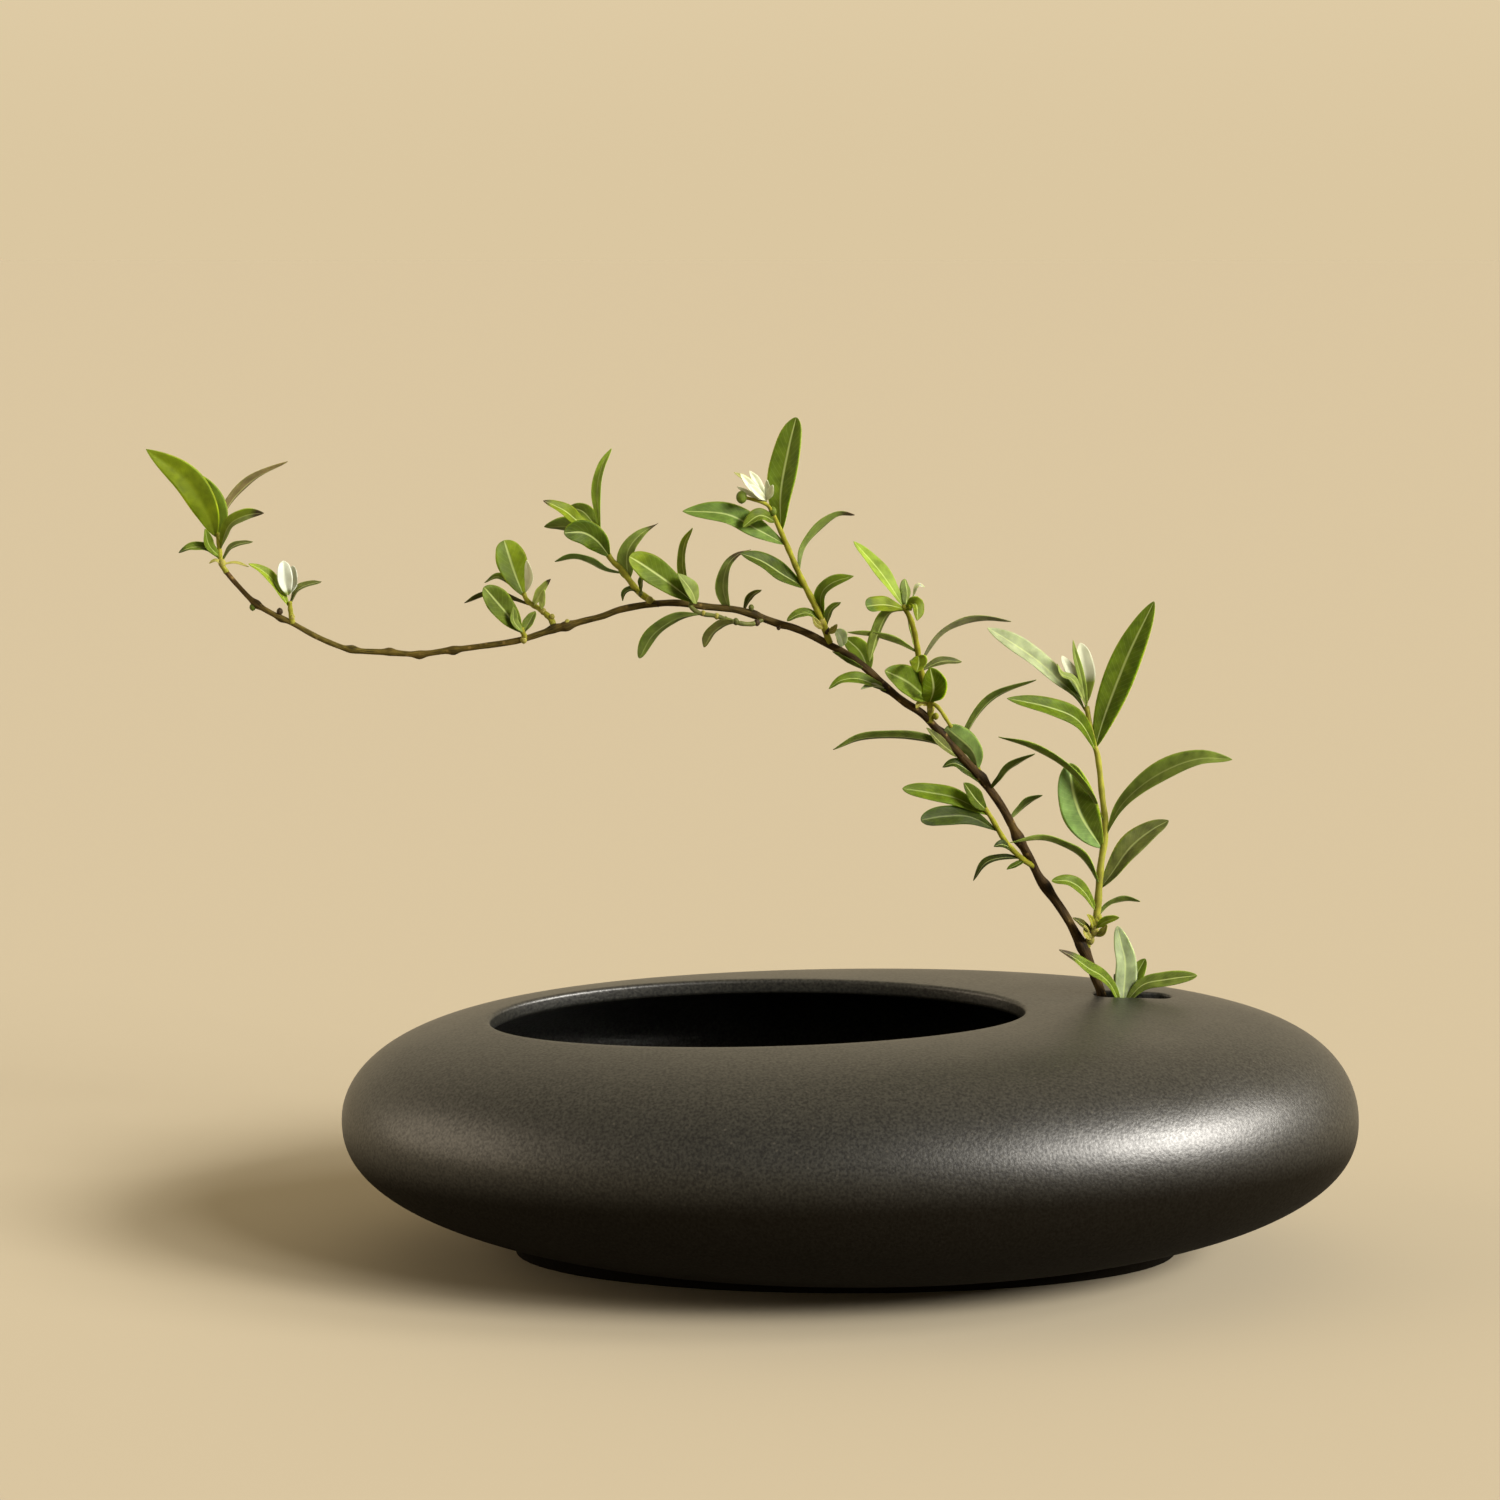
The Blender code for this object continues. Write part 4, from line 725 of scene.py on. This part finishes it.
# A sprig with a big folded leaf, half of it in its own shade, and narrow side leaves. A
# single white petal stands behind the big leaf.
grow("folded_leaf_sprig", "spray_four",
    leaf(10.5, 20, "bright", (-102.4, 1.8, 213), (-105.6, 3, 220.8), (-108.8, 4, 230.8), end=0.5, rib=0.4,
        other="mid"),
    leaf(3.6, 60, "bright", (-102.4, 1.8, 213.4), (-107.2, 4, 217.2), (-111.2, 6, 219), (-115.4, 8, 217)),
    leaf(4.6, 120, "olive", (-100, 0.4, 210.6), (-105.8, 3.6, 212), (-113.6, 6.4, 213.4), (-122, 9, 210.4),
        rib=0.1),
    leaf(4.5, 50, "mint", (-99.6, 0, 210.6), (-97, -2.4, 214.4), (-93.6, -6, 219.6), root=0.6, end=0.9,
        tip="brown"),
    leaf(3.6, 45, "mint", (-97.2, -2, 209.6), (-96, -5, 212.8), (-95.6, -7, 216.2)),
    stem(1, 0.75, (-92.4, -6.2, 203.2), (-93.6, -5, 206.6), (-97, -2, 209.4), (-99.8, 0, 210.8),
        (-101.6, 1.2, 212.2), (-102.6, 2, 214.2)),
    bud(0.9, (-88.4, -7.2, 206)), bud(0.8, (-93.2, -5.4, 207.6)), bud(1, (-96.2, -3, 209)),
    bud(1, (-92.4, -6.4, 203.8), "twig"))
grow("standing_petal", "petal_four",
    leaf(3.4, 30, "white", (-101.8, 0.8, 214.8), (-100.4, -1.6, 219.8), (-101.2, -3, 225.2)),
    slot="petals")

# A spray that reaches up and left: a fan of narrow and broad leaves on a yellow-green
# shoot, some turned to show the paler underside.
grow("fan_spray", "spray_five",
    leaf(4, 35, "bright2", (-78.4, 4.8, 233.8), (-79.4, 7, 245.6), (-78, 8, 253.4), (-74.8, 9, 259.6)),
    leaf(5.5, 45, "lime", (-79, 4.6, 233.8), (-85, 2, 236.8), (-89.4, -1, 240.6), (-95.8, -4, 244),
        tip="brown", tip_from=0.86),
    leaf(6, 40, "deep", (-78.8, 4.8, 233.8), (-84, 9, 239.4), (-89.2, 12, 240.4)),
    leaf(7, 140, "deep", (-78, 3.6, 231), (-86.2, 8.6, 234.6), (-96.6, 13, 234.4)),
    leaf(8.6, 15, "shady", (-75.2, 1.4, 225.8), (-79.2, -2, 231.2), (-83.4, -5, 234), (-89.2, -8, 234.2),
        end=0.6, rib=0.3),
    leaf(4.5, 125, "grey", (-71.4, -0.6, 221), (-76.4, 1, 221.6), (-81.6, 3, 224), (-87, 5, 225.2),
        (-93, 7, 223.8)),
    leaf(6.5, 30, "blue", (-69.4, -2.2, 219.2), (-69.6, 0, 227.2), (-65.8, 2.4, 232.6), (-60, 5, 236.2),
        root=0.42, end=1.25, tip="brown"),
    leaf(3, 55, "shady", (-65.2, -6, 215.2), (-65, -8.4, 218.6), (-64.2, -10.4, 221.8)),
    leaf(3, 55, "shady", (-65.2, -6, 215), (-68, -5, 216.2), (-70.4, -4, 215), (-71.2, -3.6, 212.4)),
    stem(1.1, 0.8, (-60.8, -8, 211.8), (-63, -7, 213.4), (-66.6, -5, 216), (-71.4, -1, 222),
        (-74.6, 1, 224.8), (-77.4, 3, 229.4), (-79, 5, 234.6)),
    bud(1.2, (-62.4, -8.4, 213)), bud(0.9, (-65.2, -6.4, 214.8), "twig"),
    bud(0.9, (-59.8, -8.4, 212), "brown"))

# A thin twig that runs below the branch and turns up at its end, with three leaves above
# it and two hanging.
grow("hanging_twig", "spray_six",
    leaf(9.5, 25, "bright", (-48.2, -12, 212.6), (-56.6, -14.4, 219.4), (-64.2, -17, 225),
        (-68.4, -19, 227.8), end=0.5, rib=0.4, tip="mid", tip_from=0.75),
    leaf(4.6, 50, "lime", (-48.8, -11.8, 213), (-51.8, -9, 222), (-51.6, -7, 230), (-49, -5, 235.6)),
    leaf(6, 45, "pale", (-47.8, -12, 212.4), (-49.4, -15, 216.8), (-53.6, -16.4, 222.4), end=1),
    leaf(5.5, 145, "olive2", (-46.4, -12, 209.2), (-54, -14, 208), (-61.2, -15.6, 203.2),
        (-65.6, -16.4, 195.8), end=0.5, rib=0.1),
    leaf(5, 135, "olive", (-34.4, -10.2, 206.4), (-39.4, -12, 205.8), (-43.2, -13.6, 203),
        (-45.4, -14.4, 199), end=0.6, rib=0.1),
    stem(0.75, 0.7, (-27, -6, 206.8), (-30.6, -8.4, 205.6), (-35.6, -10.4, 206.4), (-41.4, -11.4, 208.4),
        (-46.6, -12, 209.4), (-49.6, -12, 211.6), (-48.8, -11.8, 213.4), word="twig"),
    bud(0.9, (-30.6, -6.6, 210.6), "twig"), bud(1, (-35.4, -10.4, 206.6), "twig"),
    bud(0.9, (-41.4, -11.4, 208.4)), bud(1, (-28.8, -7.6, 206), "brown"), bud(0.8, (-45.6, -12, 209.4)),
    bud(0.8, (-38.6, -11, 207.4), "twig"))

# Two single leaves on the outer branch: an upright pale one with a curled dry tip, and a
# small dark one.
grow("curled_leaf", "leaf_ae",
    leaf(5.5, 40, "pale", (-37.6, -7, 210.2), (-39.4, -5, 216.6), (-38.2, -3, 223), (-35, -1, 226.6),
        (-30.6, 1, 228.2), root=0.5, end=1.3, tip="brown", tip_from=0.62))
grow("small_leaf", "leaf_af",
    leaf(3.4, 55, "olive", (-33, -6.4, 209.6), (-30.6, -4.4, 213.8), (-27.4, -3, 215.8)))

# The tall middle spray: a big upright leaf with a pale midrib, long side leaves, and a
# thin side stalk with a round bud. Its flower has narrow white petals joined at the
# centre, the lowest of them still yellow.
grow("middle_spray", "spray_seven",
    leaf(10, 20, "bright", (-21.4, -15.8, 234.8), (-21.4, -15, 247.6), (-18.8, -12, 261.6),
        (-16.6, -10, 270.4), root=0.8, end=0.6, rib=0.4),
    leaf(8, 30, "grey", (-19.8, -14.6, 231), (-28.8, -18.4, 236.2), (-38.4, -22, 241.2), (-51.8, -25, 242.4)),
    leaf(5, 40, "deep", (-23, -17, 238.4), (-28, -22.4, 240.8), (-33.2, -27, 237.6)),
    leaf(5, 125, "deep", (-15.8, -11.8, 222.6), (-14.4, -9, 229.2), (-10, -6, 234.8), (-3.6, -3, 239.2),
        (2, 0, 239.2), rib=0.1, tip="brown"),
    leaf(7, 40, "shady", (-13.2, -9.8, 216.8), (-20.8, -13, 221.6), (-27.2, -16, 226), (-34, -18.4, 228.8)),
    leaf(5.5, 45, "bright", (-7.8, -5.2, 206), (-8.8, -8, 214), (-5.6, -9.6, 218.4), (1.4, -11, 221)),
    leaf(4, 55, "deep", (-7.2, -4, 203.6), (-5.6, -3, 209.2), (-2.4, -2, 211.8)),
    leaf(4, 50, "deep", (-8, -5, 205.6), (-12.2, -8, 208.8), (-15.6, -10, 208.8), (-19.4, -12, 207), end=0.6),
    leaf(2.6, 30, "bract", (-7.8, -5, 204), (-10, -8, 205.6), (-11.4, -9, 208)),
    leaf(2.4, 30, "bract", (-7, -4, 202.6), (-4.8, -6, 203.4), (-3.6, -7, 205.4)),
    stem(1.15, 0.8, (-6, -2.6, 199), (-7.4, -4, 203.6), (-8.8, -6, 207.6), (-12.2, -9, 214.6),
        (-14.8, -11, 219.8), (-18.4, -14, 228.2), (-21.8, -16, 236.2), (-23.8, -17.4, 240.4)),
    stem(0.6, 0.55, (-23.2, -17, 239.4), (-25.4, -19.6, 243.6), (-28.8, -22, 245.4), (-33, -23.6, 246.6)),
    bud(1.7, (-33.6, -23.6, 246.6), "bud_green"), bud(1.3, (-8.6, -5.6, 206.4)),
    bud(1.1, (-6.8, -4, 203), "brown"), bud(1, (-10.8, -7.6, 211.6), "stem"),
    bud(0.7, (-22, -6.2, 204.2), "brown"), bud(1.25, (-24, -18.2, 241.8), "bud_green"))
grow("middle_flower", "bloom_seven",
    leaf(3, 20, "white", (-26, -20.2, 245.4), (-30.4, -22.4, 249.6), (-34, -23, 253.8)),
    leaf(3, 20, "white", (-26, -20, 245.4), (-29, -19, 251), (-31.2, -18.6, 254.4)),
    leaf(2.6, 20, "white", (-26, -20.2, 245.4), (-24.6, -22.4, 248.2), (-24, -24, 250.4)),
    leaf(2.8, 30, "white", (-26, -20.4, 245.4), (-28.8, -24.4, 248), (-31.4, -26.4, 250.8)),
    leaf(2.2, 25, "yellow", (-26, -20.2, 245.4), (-31.6, -20.4, 251.4), (-36, -20, 254)),
    leaf(2, 35, "white", (-26, -20, 245.4), (-31, -19, 247.2), (-35, -18, 249.4)),
    leaf(2.2, 25, "white", (-25.8, -20.4, 245.6), (-25.4, -21, 248.6), (-25.8, -22, 251.8)),
    leaf(1.9, 60, "white", (-25.8, -20, 245.2), (-28.8, -17.6, 245.6), (-31.6, -16, 245.4), foot="pale"),
    slot="petals")

# Leaves on the middle of the branch: a small pale one on its upper side, made paler still as
# painted light because it lies in shade, a broad one behind it, and below it a narrow one and
# two small ones.
grow("pale_and_painted_lit_leaf", "leaf_ap",
    leaf(5, 35, "streak", (-1.6, -2.4, 198), (-2.4, -4.4, 200.8), (-4, -6, 203.4), root=0.6, end=0.5))
grow("broad_leaf", "leaf_aq",
    leaf(7.5, 30, "bright", (6.8, 0.4, 189), (4, 4, 195.2), (-0.8, 8, 199.4)))
grow("narrow_leaf", "leaf_strip",
    leaf(3.4, 120, "olive2", (5.4, -0.2, 190.2), (0, -3.8, 193), (-5, -5.4, 196.6)))
grow("two_small_leaves", "leaf_as",
    leaf(5, 50, "bright", (13.2, 1.8, 183.2), (9.2, -1.6, 185.2), (3.4, -3.6, 187.6), (-2, -5.6, 187.4),
        (-6.2, -7.6, 185)),
    leaf(2.6, 60, "streak", (11.4, -0.2, 184.4), (7.6, -3, 185.4), (4, -5, 184.6)))

# The forward spray: drooping bright leaves on a bent shoot, long thin ones to the right,
# and a bare side twig at its foot.
grow("forward_spray", "spray_eight",
    leaf(6.2, 45, "bright2", (17.4, -12.6, 211), (10, -11, 221.8), (1.4, -8, 231.6)),
    leaf(4.6, 140, "deep", (17.2, -12.8, 211.4), (18, -10.4, 215.4), (17.4, -8.4, 219.8), end=0.6),
    leaf(6.2, 40, "lime", (17.4, -12.8, 210.8), (11, -17.6, 212.6), (5, -22, 212.6), end=0.35, tip="grey"),
    leaf(5.4, 40, "lime", (17.4, -12.8, 210.8), (20.6, -16, 212.6), (21, -18.4, 207.8)),
    leaf(5.6, 135, "bright", (17.4, -12.6, 210.6), (12, -13.4, 209.6), (8.8, -12.6, 203.2),
        (6.4, -10.4, 194)),
    leaf(4, 55, "bright2", (17.8, -12, 210.2), (19.6, -6.4, 204.2), (21, -3, 198)),
    leaf(4.4, 125, "bright", (21.8, -5.2, 196.4), (14, -9.6, 200.4), (8.4, -12, 202.2), (-0.6, -15, 203.8)),
    leaf(4.6, 125, "grey2", (22.6, -3, 192.4), (29.2, 0.4, 200.8), (36.2, 3.6, 204.4), (43.4, 5.6, 205.4),
        (52.2, 7.6, 204.6), rib=0.1),
    leaf(3.8, 50, "grey2", (23, -2, 190), (29.6, 1.6, 192.4), (36.4, 5, 192)),
    leaf(6, 20, "lime", (22.2, -4.6, 195.4), (22, -9.6, 193.2), (21.2, -13, 191)),
    leaf(10, 30, "bright", (25.8, 3, 180), (19, -3, 186.4), (11.4, -8, 190.8), root=0.8, end=0.7),
    leaf(9, 10, "lime2", (26.2, 3.4, 179), (27, -3.6, 184.8), (25.6, -8.4, 191.8), end=0.7, rib=0.5),
    leaf(1.5, 30, "white", (20, -12.2, 214.8), (21.2, -13.6, 218.2), (23.4, -14.4, 218)),
    leaf(2.4, 30, "bract", (25.6, 4, 178.2), (23.4, 2, 179.2), (21.6, 0, 177.8)),
    stem(1.2, 0.8, (26.4, 5.6, 172.6), (26.4, 4, 178.6), (24.6, 1, 184.4), (22.4, -3.4, 193),
        (21.8, -5.6, 197), (20.4, -9, 203.8), (18.8, -11.6, 208.4), (16.8, -13, 211.8)),
    stem(0.7, 0.6, (26, 3.6, 179.4), (29, 1.6, 177.6), (33, 1, 171.6)),
    bud(1.3, (26.6, 4.4, 177.2)), bud(1.1, (24.8, 3.6, 180.2)), bud(1, (28.2, 4.4, 174.6), "stem"))

# Leaves on the lower branch: a long narrow one that reaches left over a short one, a
# broad grey-green one with a narrow one behind it, a small one on the left, and on the
# right one with its underside to the front and a short one.
grow("long_leaf_pair", "pair_bd",
    leaf(5, 135, "olive2", (36.4, 9.2, 160.4), (29, 6, 165.6), (21.2, 3, 168), (12.6, 0, 168.8),
        (3.6, -2.4, 168.4), (-4.8, -5, 165.2)),
    leaf(4, 45, "grey2", (36.4, 9.2, 160.4), (30.2, 4.6, 165.6), (25.2, 2.6, 171.2)))
grow("broad_leaf_pair", "pair_bf",
    leaf(8, 165, "grey", (42.4, 11.4, 156.2), (40, 8.2, 163.2), (31.6, 5.4, 171), root=0.8, end=0.45,
        other="blue"),
    leaf(4.6, 130, "olive2", (42.4, 11.4, 156.2), (39.2, 13.6, 164), (39.6, 15, 169.6), (47.2, 16, 179),
        (61.2, 16.4, 184.8)),
    stem(0.9, 0.8, (44.2, 11.2, 152.6), (43.2, 11.4, 154.6), (42.2, 11.4, 156.8)))
grow("leaf_left_of_branch", "leaf_bi",
    leaf(5, 45, "dusk", (45, 11.6, 151), (39, 9.4, 156.2), (34.6, 8, 158.8), (30.6, 7, 157.8)))
grow("leaf_right_of_branch", "leaf_bh",
    leaf(4.6, 130, "olive2", (46.2, 12, 149.8), (48.8, 8, 153.4), (52.4, 4, 158.4), (59.6, 0, 163.2)))
grow("short_leaf_right", "leaf_bs",
    leaf(4.2, 135, "olive2", (52.6, 14.4, 139.4), (56, 17, 142), (59, 18.6, 144.4), (63.8, 20, 146.6)))

# The low left spray: two wide leaves, one bright and one dark, over small curled ones
# on a thin stem.
grow("low_left_spray", "spray_nine",
    leaf(6.5, 30, "lime2", (46, 6, 142.2), (35, 2, 148.4), (26.4, 0, 150.6), (17.4, -3, 152.4), end=0.6,
        rib=0.15),
    leaf(7, 25, "dusk", (49, 8, 136.6), (39.6, 3, 142.2), (31.2, -1, 143.2), (23.2, -5, 142.6), root=1.1,
        end=0.5, rib=0.1),
    leaf(6, 35, "shady", (44.8, 5, 144), (41, 2, 148.2), (37, -1, 154)),
    leaf(3.4, 45, "dusk", (53.4, 10.8, 130.6), (50.2, 7, 132.6), (47.2, 5, 132.4)),
    leaf(3.8, 60, "dark", (56.6, 12.8, 127.2), (50.6, 10, 127.8), (44.8, 7, 126.6), (40.6, 4, 121.4)),
    leaf(2.6, 55, "shady", (57.6, 13.6, 126.4), (54.8, 10, 125.4), (51.6, 8, 124.4)),
    stem(0.95, 0.8, (60.8, 17, 123.8), (56.8, 13, 127), (51.4, 9.4, 133), (46.4, 6, 141.4), (44.2, 5, 144.8)))

# The tallest spray, straight up from the foot of the branch: a big pointed leaf at the
# top and pairs of long leaves down its yellow shoot. Its flower buds are three white
# petals furled together at the foot.
grow("tall_spray", "spray_ten",
    leaf(10.5, 10, "bright", (81.2, 26.2, 160.8), (83.6, 26, 169.8), (87, 24.4, 180.4), (91.8, 22.4, 193.6),
        (99, 20, 209.8), root=0.8, end=0.75, rib=0.4),
    leaf(7, 35, "lime2", (82, 26.2, 159.6), (75.6, 22, 170.4), (66, 18, 175.4), (51.4, 13, 179.2)),
    leaf(8, 40, "streak", (78.4, 27, 172.6), (74.6, 27.2, 178.4), (69.8, 28.4, 182.8), (62, 30, 189.6),
        (53.8, 31, 195.2), (46.2, 32, 199.8), root=1.2, end=0.75, foot="deep"),
    leaf(2.8, 20, "blue", (78.6, 26.8, 172.8), (76.2, 24.4, 184.4), (74.2, 24, 191.8), (73.4, 24, 196.8)),
    leaf(3.2, 50, "pale", (78.6, 26.8, 174.2), (73.8, 22.4, 183.6), (69.6, 20.4, 186), (68, 19.6, 189.6)),
    leaf(8.2, 45, "blue", (84.6, 23.6, 131.8), (89, 22, 142), (96, 19, 150), (104.6, 16, 156),
        (114, 13, 159.6), (123.8, 10, 159.8), root=1.2, rib=0.2),
    leaf(8.6, 35, "grey2", (82.8, 21.2, 115.2), (86.8, 23, 120), (92.8, 26, 127.8), (99.6, 29, 133),
        (106.2, 31, 136.4), end=0.72, rib=0.2),
    leaf(13.2, 10, "blue2", (83.6, 23, 128.6), (76.4, 17.6, 139.8), (73, 13.6, 149.4), (71.6, 11.6, 158.4),
        root=0.8, end=0.6, rib=0.45, other="deep"),
    leaf(5.4, 120, "bright", (84.2, 24, 137.8), (78.4, 12.4, 148.2), (70.4, 8.6, 157.2), (59.6, 8, 163.8),
        (48.4, 8.6, 167.4), root=1.6, end=0.9),
    leaf(5.4, 125, "bright", (82.8, 21, 117.2), (76.6, 14, 127.2), (69.4, 8.4, 132.2), (61.8, 3.6, 135),
        (51.8, -1.6, 134.8)),
    leaf(5.2, 45, "bright", (82, 20, 108), (77.2, 16, 115.6), (72.2, 13, 119.4), (66.4, 11, 120), end=0.6),
    leaf(4.2, 130, "olive2", (81.8, 19.8, 106.2), (86.2, 23, 109.8), (91.4, 26, 110.8), (97, 28, 110)),
    leaf(3.8, 55, "mid", (81.2, 19.6, 102.8), (84.6, 16, 105.6), (88.6, 13, 107.6)),
    leaf(3.2, 50, "olive", (80.4, 19.4, 101.2), (77.4, 15.6, 104.4), (73.6, 13.6, 107.4)),
    leaf(3, 40, "bract", (80.4, 18.2, 99.2), (78.2, 16, 101.6), (77.4, 15, 104.8)),
    leaf(2.8, 40, "bract", (81.6, 18.4, 100.4), (83.8, 16.4, 102.2), (85, 16, 104.6)),
    leaf(2.4, 40, "stem", (81, 18.4, 102.4), (79.8, 16.4, 106.2), (78.4, 15.4, 108.2)),
    stem(1.35, 0.85, (77.6, 19, 94.4), (80.2, 19.4, 100.6), (82, 20, 107.4), (83.2, 22, 122.8),
        (84.8, 24, 134.4), (83.6, 25, 146.2), (82.2, 26, 158), (80.6, 26.4, 163.6), (78.4, 27, 174.6),
        word="stem_light"),
    bud(1.7, (81, 19.2, 102)), bud(1.5, (79.8, 19, 99)), bud(1.3, (82.4, 20, 106.4), "stem"))
grow("tall_flower_buds", "bloom_ten",
    leaf(6.6, 20, "furled", (78.6, 28.6, 175.6), (78, 29, 185.8), (76.2, 29, 195.2), root=0.8, end=0.6,
        foot="mid", foot_until=0.45),
    leaf(4.6, 25, "furled", (78.2, 28, 175.6), (74, 28.4, 184.2), (70.2, 29, 191), root=1, end=0.7,
        foot="bright", foot_until=0.6),
    leaf(3, 25, "furled", (78.8, 28.8, 175.6), (77, 33.6, 185.2), (74.6, 35.6, 191.4), foot="pale",
        foot_until=0.55),
    slot="petals")

# The young shoot that comes out of the slot beside the branch, its middle leaves still
# folded and pale.
grow("shoot_in_slot", "spray_hole",
    leaf(5, 45, "bright", (90.2, 17.6, 76.2), (87, 14.6, 83.8), (83.2, 11.6, 88.4), (78.6, 8.6, 91.6),
        (73.6, 6.4, 95.6), (68.4, 4.4, 98.8), tip="brown"),
    leaf(8, 15, "streak2", (90.6, 18, 76.6), (91.4, 19, 90.6), (90.2, 20, 97), (88.8, 21, 103.2), root=0.45,
        end=0.6),
    leaf(5.8, 20, "bright", (90.6, 18.2, 76.8), (94.8, 20, 86.2), (98.2, 21.6, 92.2), root=0.7, end=0.6),
    leaf(5.4, 30, "blue", (90.6, 18.2, 76.8), (96.8, 17.2, 84.2), (104.4, 15.2, 86.6), (114.2, 13, 88.4),
        end=0.6, rib=0.5),
    leaf(4.4, 40, "dusk", (90.4, 18.4, 76.4), (89.2, 20, 83.2), (88.2, 22, 87)),
    stem(1.1, 0.9, (94, 15.6, 66.4), (92.8, 17, 72), (91.2, 18.2, 78.2)))
